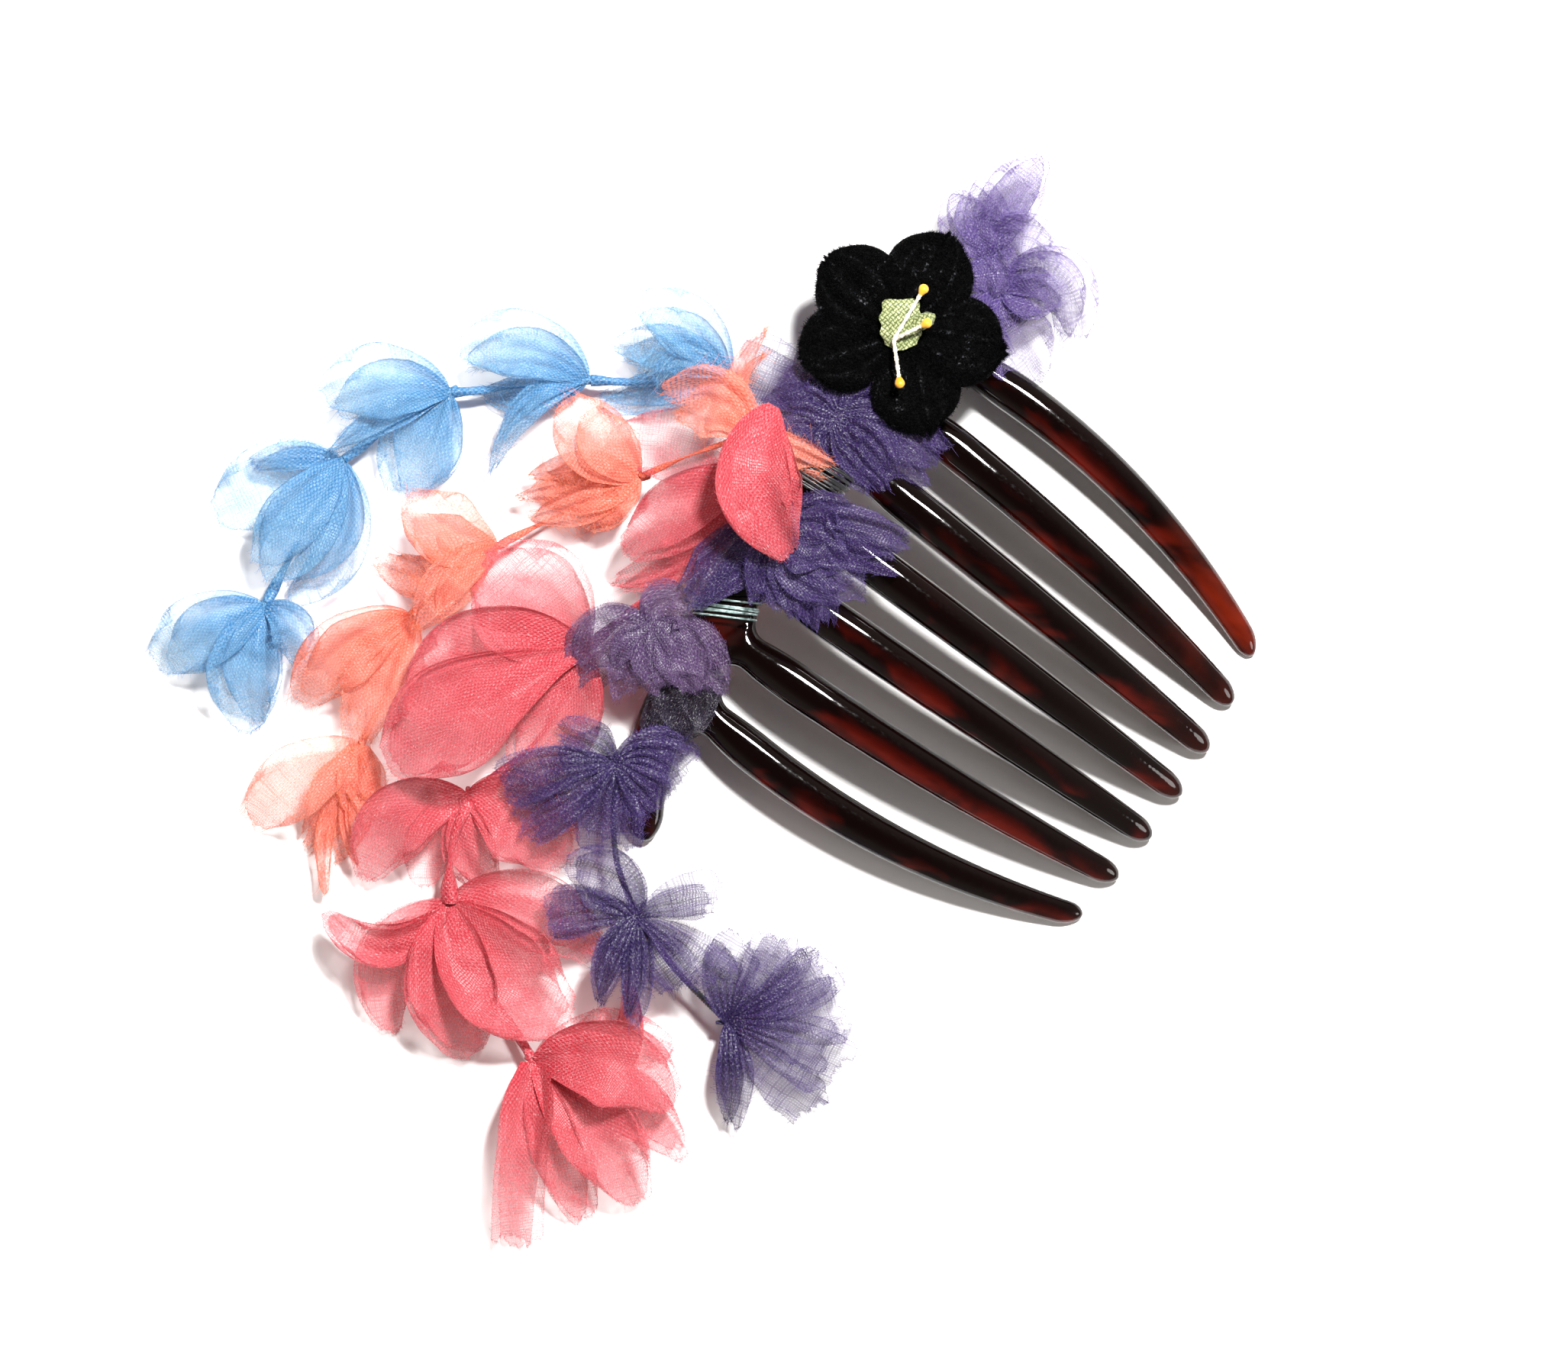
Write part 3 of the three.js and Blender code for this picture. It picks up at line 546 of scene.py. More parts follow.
def tooth_axis(i, u):
    u = np.asarray(u, float)
    root_x, tip_x = SPINE_X + TOOTH_PITCH * (MIDDLE - i), TIP_X + TIP_PITCH * (MIDDLE - i)
    side = (root_x - SPINE_X) / (MIDDLE * TOOTH_PITCH)
    elbow_x = (root_x + tip_x) / 2 + 9 * side**3
    root_y = 7.8 - 0.0028 * (root_x - SPINE_X) ** 2
    tip_y = TIP_Y + 2.6 * side**2 + 1.2 * side
    root_z = float(spine_axis(spine_share(root_x))[2])
    tip_z, arch = 2.3 - 1.2 * side**2, 3 - 1.5 * side**2
    x = (1 - u) ** 2 * root_x + 2 * u * (1 - u) * elbow_x + u**2 * tip_x
    z = tip_z + (root_z - tip_z) * (1 - u**2) + 4 * arch * u * (1 - u)
    return np.stack([x, root_y + (tip_y - root_y) * u, z], axis=-1)


def comb_rings(centres, sideways, widths, heights):
    """Closed rings round the centres: flat below with a low moulding lip, upright sides, a rounded back."""
    a = np.linspace(0, 2 * np.pi, 40, endpoint=False)
    ca, sa = np.cos(a), np.sin(a)
    across = 0.5 * np.sign(ca) * np.abs(ca) ** np.where(sa >= 0, 0.86, 0.34)
    up = np.where(sa >= 0, -0.17 + 0.67 * np.abs(sa) ** 0.95, -0.26 - 0.24 * np.abs(sa) ** 0.5)
    return (
        centres[:, None]
        + sideways[:, None] * (across[None, :] * widths[:, None])[..., None]
        + UP * (up[None, :] * heights[:, None])[..., None]
    )


def closed(rings):
    ends = [end.mean(axis=1, keepdims=True) + 0 * end for end in (rings[:1], rings[-1:])]
    return np.concatenate([ends[0], rings, ends[1]])


def comb_piece():
    comb = Piece()
    t = np.sin(np.linspace(-np.pi / 2, np.pi / 2, 160))
    along = unit((spine_axis(t + 0.004) - spine_axis(t - 0.004)) * arr(1, 1, 0))
    sideways = np.stack([-along[:, 1], along[:, 0], 0 * t], axis=-1)
    from_end = np.minimum((t + 1) * REACH_LEFT, (1 - t) * REACH_RIGHT)
    blunt = np.sqrt(np.clip(1 - within(1 - from_end / 3.2) ** 2, 0.01, 1))
    widths = (SPINE_WIDTH - 1.5 * t**2 - 1.3 * t**8) * blunt
    heights = (SPINE_HEIGHT - 0.9 * t**2) * (0.35 + 0.65 * blunt)
    comb.grid(closed(comb_rings(spine_axis(t), sideways, widths, heights)), round_rows=True)
    for i in range(TEETH):
        last = 1 - 0.045 * np.cos(np.linspace(0, np.pi / 2, 34))
        u = within(np.concatenate([np.linspace(0, 0.14, 46), np.linspace(0.145, TIP_START, 70), last]))
        centres = tooth_axis(i, u)
        length = centres[0, 1] - centres[-1, 1]
        depth = np.clip(u * length - NOTCH_TOP, 0, NOTCH_RADIUS)
        flare = TOOTH_PITCH - 2 * np.sqrt(np.clip(NOTCH_RADIUS**2 - (NOTCH_RADIUS - depth) ** 2, 0, None))
        below = within((u * length - NOTCH_TOP - NOTCH_RADIUS) / SWELL)
        narrow = TOOTH_PITCH - 2 * NOTCH_RADIUS
        blade = narrow + (TOOTH_WIDTH - narrow) * np.sin(below * np.pi / 2) - 2.8 * u**2.2
        widths = np.where(below > 0, blade, flare)
        tip = np.sqrt(np.clip(1 - (within(u - TIP_START) / 0.0451) ** 2, 0.02, 1))
        heights = (TOOTH_HEIGHT - 1.8 * u**2) * (0.3 + 0.7 * tip) - within(1 - u * length / NOTCH_TOP)
        across = np.tile(arr(1, 0, 0), (len(u), 1))
        comb.grid(closed(comb_rings(centres, across, widths * tip, heights)), round_rows=True)
    made = comb.make("comb", "moulded", tortoiseshell(), "comb")
    remesh = made.modifiers.new("one_body", "REMESH")
    remesh.mode = "VOXEL"
    remesh.voxel_size = VOXEL
    remesh.use_smooth_shade = True
    smooth = made.modifiers.new("polish", "SMOOTH")
    smooth.factor, smooth.iterations = 0.5, 7
    applied(made)
    points = np.zeros(len(made.data.vertices) * 3, np.float32)
    made.data.vertices.foreach_get("co", points)
    points = points.reshape(-1, 3) * 1000 - SHIFT
    # amber where the plastic is thin and clear
    tooth = np.round(MIDDLE - (points[:, 0] - TIP_X) / (TIP_PITCH + 0.9))
    tooth = np.clip(tooth, 0, TEETH - 1).astype(int)
    reach = np.choose(tooth, AMBER_REACH)
    amber = within((TIP_Y + reach - points[:, 1]) / (0.7 * reach)) * np.choose(tooth, AMBER)
    tone = made.data.attributes.get("tone") or made.data.attributes.new("tone", "FLOAT", "POINT")
    tone.data.foreach_set("value", amber.astype(np.float32))


def applied(made):
    """Puts the modifiers' result into the mesh itself."""
    shape = bpy.data.meshes.new_from_object(made.evaluated_get(bpy.context.evaluated_depsgraph_get()))
    made.modifiers.clear()
    made.data = shape
    made.data.polygons.foreach_set("use_smooth", np.ones(len(shape.polygons), bool))


# ---- petals
# A petal is [angle, length, width, rise, tip, bow] as in the CAD, and then how its cloth lies:
# its kind, and how much denser (or sheerer, below 0) it is than the rest.
ROUND, BLUNT, LEAF, CRUMPLE, ROLL, SPOON, TUBE = "round", "blunt", "leaf", "crumple", "roll", "spoon", "tube"
# how far the end curves back at its corners, how ragged the cut is, and how much the cloth is cupped
KIND = {
    ROUND: (0.34, 0.006, 1.0), BLUNT: (0.10, 0.016, 0.8), LEAF: (0.02, 0.01, 0.8),
    CRUMPLE: (0.18, 0.03, 0.5), ROLL: (0.26, 0.003, 1.8), SPOON: (0.22, 0.004, 0.9), TUBE: (0.06, 0.01, 2.4),
}
CURLED = (ROUND, ROLL, SPOON, TUBE)  # kinds whose cut edge rolls in a little
HAIR_LENGTH = {ROLL: 0.5, CRUMPLE: 0.65}  # of the loose threads, as a share of the style's
STYLE = {
    #        folds depth height wave  cup crumple fringe kind  inner layer: turn, least length, least width
    "blue": (3.4, 0.4, 0.17, 0.5, 0.26, 0.16, 0.9, ROUND, (9, 0.78, 0.70)),
    "coral": (2.6, 0.4, 0.20, 0.6, 0.2, 0.24, 1.35, ROUND, (12, 0.74, 0.66)),
    "pink": (1.6, 0.25, 0.13, 0.5, 0.34, 0.12, 0.4, ROUND, (4, 0.95, 0.92)),
    "violet": (4.0, 1.0, 0.30, 0.6, 0.12, 0.22, 0.6, BLUNT, (10, 0.8, 0.75)),
    "lilac": (2.0, 0.4, 0.25, 0.6, 0.16, 0.3, 1.3, ROUND, (12, 0.8, 0.75)),
    "plum": (2.4, 0.5, 0.26, 0.6, 0.10, 0.3, 0.8, CRUMPLE, (12, 0.8, 0.8)),
    "dark": (2.4, 0.5, 0.24, 0.4, 0.06, 0.6, 0.7, CRUMPLE, (10, 0.8, 0.8)),
}


def rising(t, end, power=1.0):
    """0 at t = 0 and 1 from t = end on."""
    return np.sin(np.pi / 2 * within(t / end)) ** power


def outline(kind, t):
    """Half the width of a petal along its length, as a share of its widest."""
    neck = 0.13
    if kind == BLUNT:
        return neck + (1 - neck) * rising(t, 0.92, 0.9)
    if kind == LEAF:
        return neck + (1 - neck) * np.sin(np.pi * within(0.96 * t) ** 0.95) ** 0.75
    if kind == CRUMPLE:
        return 0.3 + 0.7 * rising(t, 0.5) * np.sqrt(1 - (within(t - 0.5) / 0.66) ** 2)
    if kind == TUBE:
        return 0.5 + 0.5 * rising(t, 0.3) * (1 - 0.18 * t**3)
    if kind == SPOON:
        bowl = np.sqrt(np.clip(1 - ((t - 0.72) / 0.34) ** 2, 0.05, 1))
        return np.where(t < 0.72, 0.14 + 0.86 * rising(t, 0.72, 1.6), bowl)
    grown = neck + (1 - neck) * rising(t, 0.6, 0.78)
    return grown * np.sqrt(within(1 - (within(t - 0.5) / 0.62) ** 2.4))


def crumpled(x, y, amount, rng):
    """Sideways and upward shifts, in mm, of cloth that is creased in every direction."""
    shift = np.zeros((*np.broadcast(x, y).shape, 3))
    for _ in range(9):
        turn, size, phase = rng.uniform(0, 2 * np.pi), rng.uniform(3.6, 11), rng.uniform(0, 2 * np.pi)
        c, s = math.cos(turn), math.sin(turn)
        p = 2 * np.pi * (x * c + y * s) / size + phase
        p = p + 0.5 * np.sin(p) + 0.4 * np.sin(2 * np.pi * (y * c - x * s) / (2.3 * size))
        shift[..., 0] += 0.042 * size * np.cos(p) * c
        shift[..., 1] += 0.042 * size * np.cos(p) * s
        shift[..., 2] += 0.07 * size * np.sin(p)
    return shift * amount


def petal_axis(petal, u):
    angle, length, _, rise, tip, bow = petal[:6]
    along, u = turned(angle), np.asarray(u, float)[..., None]
    left = arr(-along[1], along[0], 0)
    height = (4 * rise - tip) * u + (2 * tip - 4 * rise) * u**2
    return along * length * u + left * 4 * bow * u * (1 - u) + UP * height


def petal_cloth(piece, fringe, at, petal, style, rng, layer, shift):
    """One layer of a petal: a pleated sheet that fans out from the neck, with raw edges."""
    folds, depth, fold_height, wave, cup, crumple, fringe_length, kind = style[:8]
    kind = petal[6] if len(petal) > 6 else kind
    dense = petal[7] if len(petal) > 7 else 0.0
    angle, length, width, rise, tip, bow = petal[:6]
    turn, longer, wider, lift = shift
    petal = [angle + turn, length * longer, width * wider, rise, tip, bow]
    end, rough_cut, cupped = KIND[kind]
    if kind == CRUMPLE:
        crumple, depth = max(crumple, 0.3), 0.35
    columns, rows = 46, 38
    s, t = np.linspace(-1, 1, columns)[None, :], np.linspace(0, 1, rows)[:, None]
    ragged = rough_cut * np.cumsum(rng.normal(size=columns))[None, :]
    ragged = np.clip(ragged - ragged.mean(), -4 * rough_cut, 4 * rough_cut)
    along = t * (1 - end * (1 - np.sqrt(1 - 0.985 * np.abs(s) ** 2.3)) * t**2 + ragged * t**4)
    half = width * wider / 2 * outline(kind, t)
    # folds run out from the neck; where depth is over 1 the cloth overlaps itself
    phase, skew = rng.uniform(0, 2 * np.pi), rng.uniform(-0.6, 0.6)
    theta = np.pi * folds * (s + 1) + phase + 0.7 * np.sin(2.1 * s + phase) + skew * t
    deep = depth * (1.1 - 0.75 * t)
    lateral = s + deep * np.sin(theta) / (np.pi * folds)
    crest = fold_height * np.clip(half, 0, 3) / 3 * (0.35 + 0.65 * np.sin(np.pi * np.clip(t, 0, 0.9)))
    z = crest * np.cos(theta)
    z += cup * cupped * half * (s**2 + 0.35 * t**3)
    if kind in CURLED:
        roll = within((np.abs(s) - 0.86) / 0.14) * within(t / 0.4)
        lateral -= 0.11 * np.sign(s) * roll**1.5
        z += 0.055 * half * roll
    z += wave * t**2 * np.sin(2.3 * np.pi * s + 2 * phase + 1.5 * t)
    z += 0.3 * wave * np.sin(5 * s + 7 * t + phase) * t
    z += rng.uniform(-0.3, 0.3) * s * half * np.sin(np.pi * t)
    middle = petal_axis(petal, along)
    tangent = unit((petal_axis(petal, along + 0.02) - petal_axis(petal, along - 0.02)) * arr(1, 1, 0))
    left = np.stack([-tangent[..., 1], tangent[..., 0], 0 * tangent[..., 0]], axis=-1)
    points = np.array(at) + middle + left * (lateral * half)[..., None] + UP * (z + lift)[..., None]
    creases = crumpled(s * half, along * length, crumple, rng) * within(t / 0.25)[..., None]
    points += left * creases[..., :1] + tangent * creases[..., 1:2] + UP * creases[..., 2:]
    # close to the floor it settles instead of passing through
    low = FLOOR_Z + 0.2 + 0.25 * layer + 0.12 * np.sin(3 * s + 4 * t + phase)
    height = points[..., 2]
    points[..., 2] = np.where(height < low + 0.5, low + 0.5 * np.exp((height - low - 0.5) / 0.5), height)
    grain = math.radians(rng.uniform(-14, 14))
    flat = np.stack([s * width / 2 * outline(kind, t) * 1.1, along * length], axis=-1)
    flat = flat + rng.uniform(0, 40, 2)
    uv = flat @ np.array([[math.cos(grain), math.sin(grain)], [-math.sin(grain), math.cos(grain)]])
    edge = np.maximum(np.abs(s), t)
    tone = 0.95 * (1 - t) ** 1.7 + 0.22 * (1 - edge**3) * layer + dense
    if kind in CURLED:
        tone = tone + 0.22 * within((np.abs(s) - 0.8) / 0.15)
    if kind in (SPOON, ROLL):  # the edge is folded over
        tone = tone + 0.3 * within((edge - 0.84) / 0.06)
    tone = within(within(tone) * (0.88 + 0.12 * np.cos(theta)))
    piece.grid(points, uv, tone)
    raw_edge(fringe, points, rng, fringe_length * HAIR_LENGTH.get(kind, 1))


HAIR_SPACING, HAIR_RADIUS = 0.27, 0.032


def raw_edge(fringe, points, rng, length):
    """Loose threads, length mm long or so, along the cut edges of one petal."""
    start = int(points.shape[0] * 0.3)
    sides = [points[start:, 0], points[-1, 1:-1], points[start:, -1][::-1]]
    inner = [points[start:, 1], points[-2, 1:-1], points[start:, -2][::-1]]
    edge, inside = np.concatenate(sides), np.concatenate(inner)
    gone = length_along(edge)
    at = np.arange(0.1, gone[-1], HAIR_SPACING)
    at = np.clip(at + rng.uniform(-0.14, 0.14, len(at)), 0, gone[-1])
    foot = looked_up(at, gone, edge)
    out = unit(looked_up(at, gone, edge - inside))
    out = unit(out + 0.22 * rng.normal(size=out.shape) * arr(1, 1, 0.5))
    size = length * (0.25 + 1.3 * rng.random(len(at)) ** 2)
    size *= np.where(rng.random(len(at)) < 0.04, 2.4, 1.0)
    bend = 0.35 * rng.normal(size=out.shape) * arr(1, 1, 0.5)
    u = np.linspace(0, 1, 4)[None, :, None]
    sprung = out[:, None] * u + bend[:, None] * u**2
    paths = foot[:, None] - 0.25 * out[:, None] + (size[:, None, None] + 0.25) * sprung
    paths[..., 2] = np.maximum(paths[..., 2], FLOOR_Z + 0.12)
    fringe.hairs(paths, HAIR_RADIUS)


# radius of the neck, mm
NECK = {"blue": 0.75, "coral": 0.6, "pink": 0.5, "violet": 0.42, "lilac": 0.3, "plum": 0.3, "dark": 0.3}


def gathered_neck(cloth, at, petals, radius):
    """The bound neck where the cloth is gathered onto the wire."""
    mean = unit(sum(turned(p[0]) * p[1] for p in petals))
    path = curve_through([at - mean * 1.9, np.array(at), at + mean * 2.6 + UP * 0.2], 26)
    share = np.linspace(0, 1, 26)
    swell = radius * (0.45 + 0.55 * np.sin(np.pi * share**0.8) ** 0.7)
    cloth.tube(path, swell, 14, lobes=5, depth=0.14, twist=0.35)


# where the neck is, and the petals
BLOSSOMS = {
    "lilac_blossom_1": ([52.5, 8.3, 10], [
      [5, 18, 10, 1, -1, 1.3], [70, 11.5, 9, 1, -1, 0, ROUND, -0.2], [-52, 10, 8, 1.5, 1, 2.7, CRUMPLE],
      [38, 12, 8, 1.5, 1, 0, ROUND, -0.1], [-140, 6, 8, 1, 0.5, 0, CRUMPLE]]),
    "lilac_blossom_2": ([49.3, 3.6, 9], [
      [-83, 15, 11, 2, -4, 6, ROUND, -0.1], [-120, 15.5, 13, 1, -6, -0.8, ROUND, -0.35],
      [-141, 10, 8, 2, 0, -3.3], [-60, 10, 9, 2, 1, 0], [60, 7, 9, 1, 0.5, 0, CRUMPLE]]),
    "violet_cluster_1": ([17, 12.5, 16], [
      [92, 18.5, 10, -2, -6, -0.9, BLUNT, -0.1], [-1, 10.8, 9, -1.4, -2.4, 0.7, CRUMPLE, 0.2],
      [-81, 17.5, 12, 0, -1.5, 1.5, CRUMPLE, 0.2], [-129, 9, 8, 0.2, 0, -0.7, CRUMPLE, 0.2],
      [-50, 13, 9, -1, -2.4, 0, CRUMPLE, 0.2], [-104, 13, 10, 0.6, -0.5, 0, CRUMPLE, 0.25],
      [120, 11, 10, 0, -2, 0, CRUMPLE, 0.1], [50, 9, 8, -1, -2.4, 0, CRUMPLE, 0.15]]),
    "violet_cluster_2": ([-2.2, 9.6, 18], [
      [-65, 20, 10, 1.2, 1, 0.8, CRUMPLE], [-123, 16, 10, 0.8, 0, 0.6, CRUMPLE, 0.15],
      [163, 18, 9, -0.5, -1.5, -1.1, CRUMPLE, 0.1], [-92, 16, 12, 1.6, 0.6, -0.7, CRUMPLE, 0.15],
      [-42, 11, 9, 1, 1, 0, CRUMPLE, 0.2], [-150, 12, 9, 0.6, 0, 0, CRUMPLE, 0.2],
      [-78, 12, 12, 2.0, 1, 0, ROUND, 0.1]]),
    "plum_blossom": ([-26.4, 16.8, 14], [
      [161, 13.8, 11, 0, -3, -1.5], [-25, 7, 8, 0.5, 0, 1.8], [-96, 14.7, 10, 0.3, -0.5, 1.2, CRUMPLE, 0.1],
      [-159, 11.7, 10, 0.5, -1, 0], [-128, 10, 9, 0.8, 0, 0, CRUMPLE, 0.15]]),
    "dark_organza_cuff": ([-27.3, 2.6, 11.8], [
      [169, 13.3, 10, 0, -2.5, -1.5, CRUMPLE, 0.1]]),
    "violet_blossom_1": ([-47.5, 8.8, 12], [
      [139, 18, 8.5, 2, -0.5, -1.1], [161, 18, 7.5, 1, -1, 0.5], [-149, 13.7, 10, 0.8, -1, 0, BLUNT, 0.15],
      [-64, 11.8, 9, 0, -3, 2.1, BLUNT, 0.15], [100, 10, 9, 1.5, 0, 0, CRUMPLE],
      [-100, 10, 8, 1, -1, 0, BLUNT, 0.2]]),
    "violet_blossom_2": ([-65.2, -8.3, 12], [
      [91, 14, 11, 1, 0.5, -2.2, ROUND, -0.2], [126, 14, 8, 0, -0.5, -1, BLUNT, -0.1],
      [-166, 15, 5, 1.2, 1, -1.2, LEAF, 0.3], [-145, 16.8, 5, 1, 1, 0.4, LEAF, 0.3],
      [-108, 13, 8, -0.5, -3, -0.4, BLUNT, -0.2], [-90, 17, 8, 1, -2, 0.8, BLUNT, -0.3],
      [-37, 13.8, 7, 1, -1, 0.8, BLUNT, -0.1]]),
    "violet_blossom_3": ([-70.6, -30.1, 6], [
      [26, 13.4, 8, 2, 0, 1.2], [0, 16.3, 10, 1.5, -1, -0.8, BLUNT, -0.2],
      [-23, 19, 9, 3, 0, -0.8, BLUNT, -0.1], [-48, 18.9, 10, 1, -3, 0.3, BLUNT, -0.35],
      [-78, 19.9, 10, 3, -1, 0.6, BLUNT, -0.2], [-99, 19.8, 8, 0.5, -4, -0.4, BLUNT, -0.35],
      [-139, 16.8, 5.5, 1.5, -3, 0.5, LEAF, 0.2]]),
    "blue_blossom_1": ([13, 30.5, 9], [
      [86, 19, 10.5, 3, 2, -1.6], [111, 19, 8, -1, -4, -1.7], [128, 14, 5, 2.5, 1, -4, LEAF],
      [140, 20.5, 6.5, -5.5, -8, 0]]),
    "blue_blossom_2": ([-0.8, 48.5, 5], [
      [113, 21, 12, 4, 2, -3], [133, 17, 7, -2.5, -4, 1, ROUND, 0.15],
      [169, 20.5, 3.8, 3, 0, -2.5, LEAF, 0.3]]),
    "blue_blossom_3": ([-15.5, 65.2, 5], [
      [128, 20, 13, 4, 1.5, -2], [154, 21, 4.5, 3, 2, -1, LEAF, 0.2],
      [-171, 18, 14.5, -1, -4, 0, ROUND, -0.1]]),
    "blue_blossom_4": ([-34.4, 72.6, 5], [
      [150, 22, 15, -1, -4, -1, ROUND, -0.5], [-174, 22, 13, 4, 2.5, 0, ROUND, 0.1],
      [-165, 24, 9, 1, -3.5, 5], [125, 14.6, 4, 1, -1, -1, LEAF, 0.3]]),
    "blue_blossom_5": ([-60.5, 68.9, 5], [
      [154, 19.7, 13.5, 2.5, -2.5, -1], [-153, 20, 13, 1, -4.2, -1, ROUND, 0.05],
      [-114, 11.6, 8, 2, -3, 2.4]]),
    "coral_blossom_1": ([7, 22, 18.5], [
      [103, 13.4, 11, 1, -3, -2.5, CRUMPLE], [27, 16.7, 3.4, 0, -1, 3, LEAF, 0.1],
      [-78, 13, 6, 0, -0.5, 0, CRUMPLE, -0.1]]),
    "coral_blossom_2": ([-8.5, 32.5, 8], [
      [80, 17.2, 13, 3, 1, 1, ROUND, -0.2], [126, 17, 5, 1, -3, -1.5, LEAF, 0.3],
      [135, 19.4, 4.5, 0, -3, 0, LEAF, 0.2], [146, 17.8, 6, 1, -2, 1, LEAF, 0.2],
      [166, 11.5, 6.5, 0.5, -4, 1]]),
    "coral_blossom_3": ([-30.7, 44.5, 7], [
      [96, 15.8, 13, 3, 0, 1.6], [133, 19.6, 9, 1.5, -4, 4], [172, 17.6, 8, 5, 4, -1, LEAF, 0.1]]),
    "coral_blossom_4": ([-48, 49.2, 5], [
      [165, 22.4, 13, 3.5, -1.5, -2], [-162, 20.5, 12, 2, 0, -0.7, CRUMPLE]]),
    "coral_blossom_5": ([-69.4, 43.5, 4], [
      [160, 21.7, 13, 3, -3, -1, ROUND, -0.35], [-164, 17.5, 11, 1.5, -2.5, 0.7, CRUMPLE, 0.1],
      [-157, 24.5, 3.0, 1, 0, -2.4, ROLL, 0.35], [-140, 10, 8, 2, 1, 0, CRUMPLE, 0.2]]),
    "pink_cup_petal": ([13, 21.5, 20.5], [
      [-136, 23.5, 14, 4.8, 0.5, -4, ROUND, 0.45]]),
    "pink_blossom_1": ([2, 18.5, 17], [
      [160, 23.2, 12, -1, -6, -1, ROUND, 0.1], [164, 27, 7, -4, -10, 3.5, LEAF, 0.2],
      [114, 22.7, 13, -6, -11, -2, ROUND, -0.35]]),
    "pink_blossom_2": ([-36, 23.3, 10], [
      [82, 22, 21, 1, 0, 0, ROUND, -0.12], [147, 29.5, 19, 3, -1, -4, ROUND, 0.1],
      [158, 36, 18.5, 6, 2.5, -2, SPOON, 0.05], [-173, 23, 15, -1, -3, 1.3, ROUND, -0.1]]),
    "pink_blossom_3": ([-66, 24.6, 7], [
      [166, 20.9, 13, 1, -4, -4], [-171, 16, 10, -1, -4.5, -1.6, ROUND, -0.5],
      [-92, 18.5, 16, 1.5, -3, 3, ROUND, -0.1], [-130, 15, 9, 0, -5, -1.6]]),
    "pink_blossom_4": ([-81.5, 17, 6], [
      [129, 19.8, 7.5, 2, 1, 6, ROLL, 0.15], [141, 14, 8, 0, -1, 4, ROUND, -0.55],
      [-169, 23, 11, -1, -5, -4.8, ROUND, -0.3], [-138, 25, 16, 1, -4, -0.7, ROUND, 0.1],
      [-97, 26.5, 20, 2, -1, -2, ROUND, 0.12], [-75, 25, 13, 0, -2, 4, ROUND, -0.1]]),
    "pink_blossom_5": ([-94, -9, 5], [
      [-12, 20, 5.5, 0.8, 1, -8, ROLL, 0.3], [-14, 14, 8, 0, -0.5, -3, ROUND, -0.55],
      [-148, 29, 8, 2, -3.5, -0.5, TUBE, -0.05], [-126, 26.6, 10, 1, -4, 0, ROUND, -0.25],
      [-107, 28, 14, 2.5, -2.5, 2], [-70, 23.5, 15, 4.5, 2, 4, ROUND, 0.15],
      [-50, 22, 11, -1, -4, 3, ROUND, -0.4], [-88, 28, 11, -1.5, -4.2, 3.4, ROUND, -0.1]]),
}


SHEEREST = -0.3  # a petal that is sheerer than this has no inner layer
FIRST_LAYER = (0, 1, 1.05, -0.15)  # turn, share of the length and of the width, lift
INNER_LIFT = 0.4
FILLED = 0.78  # the share of a strip that its petals fill


def blossom(name, at, petals, seed):
    strand = name.split("_")[0]
    style, rng = STYLE[strand], np.random.default_rng(seed)
    turn, length, width = style[8]
    cloth, fringe = Piece(), Piece()
    for petal in petals:
        petal_cloth(cloth, fringe, at, petal, style, rng, 0, FIRST_LAYER)
        if len(petal) > 7 and petal[7] < SHEEREST:
            continue
        shift = (rng.uniform(-turn, turn), rng.uniform(length, 1), rng.uniform(width, 1), INNER_LIFT)
        petal_cloth(cloth, fringe, at, petal, style, rng, 1, shift)
    if name != "pink_cup_petal":
        gathered_neck(cloth, np.array(at), petals, NECK[strand])
    threads = fringe.make(name, "edges", FIBRE[strand], strand, in_place=False)
    made = cloth.make(name, "cloth", MATERIAL[strand], strand)
    area = cloth.area()
    # the strip that it is cut from is about two petals long
    width = max(10.0, area / FILLED / (2.2 * max(p[1] for p in petals)))


# ---- stems
# for each stem its radius and the points that it passes through; it ends in the blossom of its number
CHAINS = {
    "blue": [
        (0.7, [8.6, 11.5, 17.2], [9.8, 17.5, 14.6]), (0.7, [5, 40, 5.4]), (0.7, [-8, 56.6, 5.4]),
        (0.7, [-25, 69.4, 4.4]), (0.7, [-47, 71, 3.4])],
    "coral": [
        (0.55, [6.4, 11.5, 17.2], [6.8, 16.5, 17.4]), (0.5, [-0.9, 27.7, 14.4]), (0.5, [-20, 39, 3.4]),
        (0.5, [-39, 47.4, 5]), (0.5, [-58, 45.6, 2.6])],
    "pink": [
        (0.7, [4, 11.5, 17.2], [3.2, 14.6, 17]), (0.7, [-15, 18.6, 7.6]), (0.7, [-51, 21, 5.6]),
        (1.1, [-74.4, 21.6, 8.4]), (0.7, [-88.6, 4, 2.4])],
}
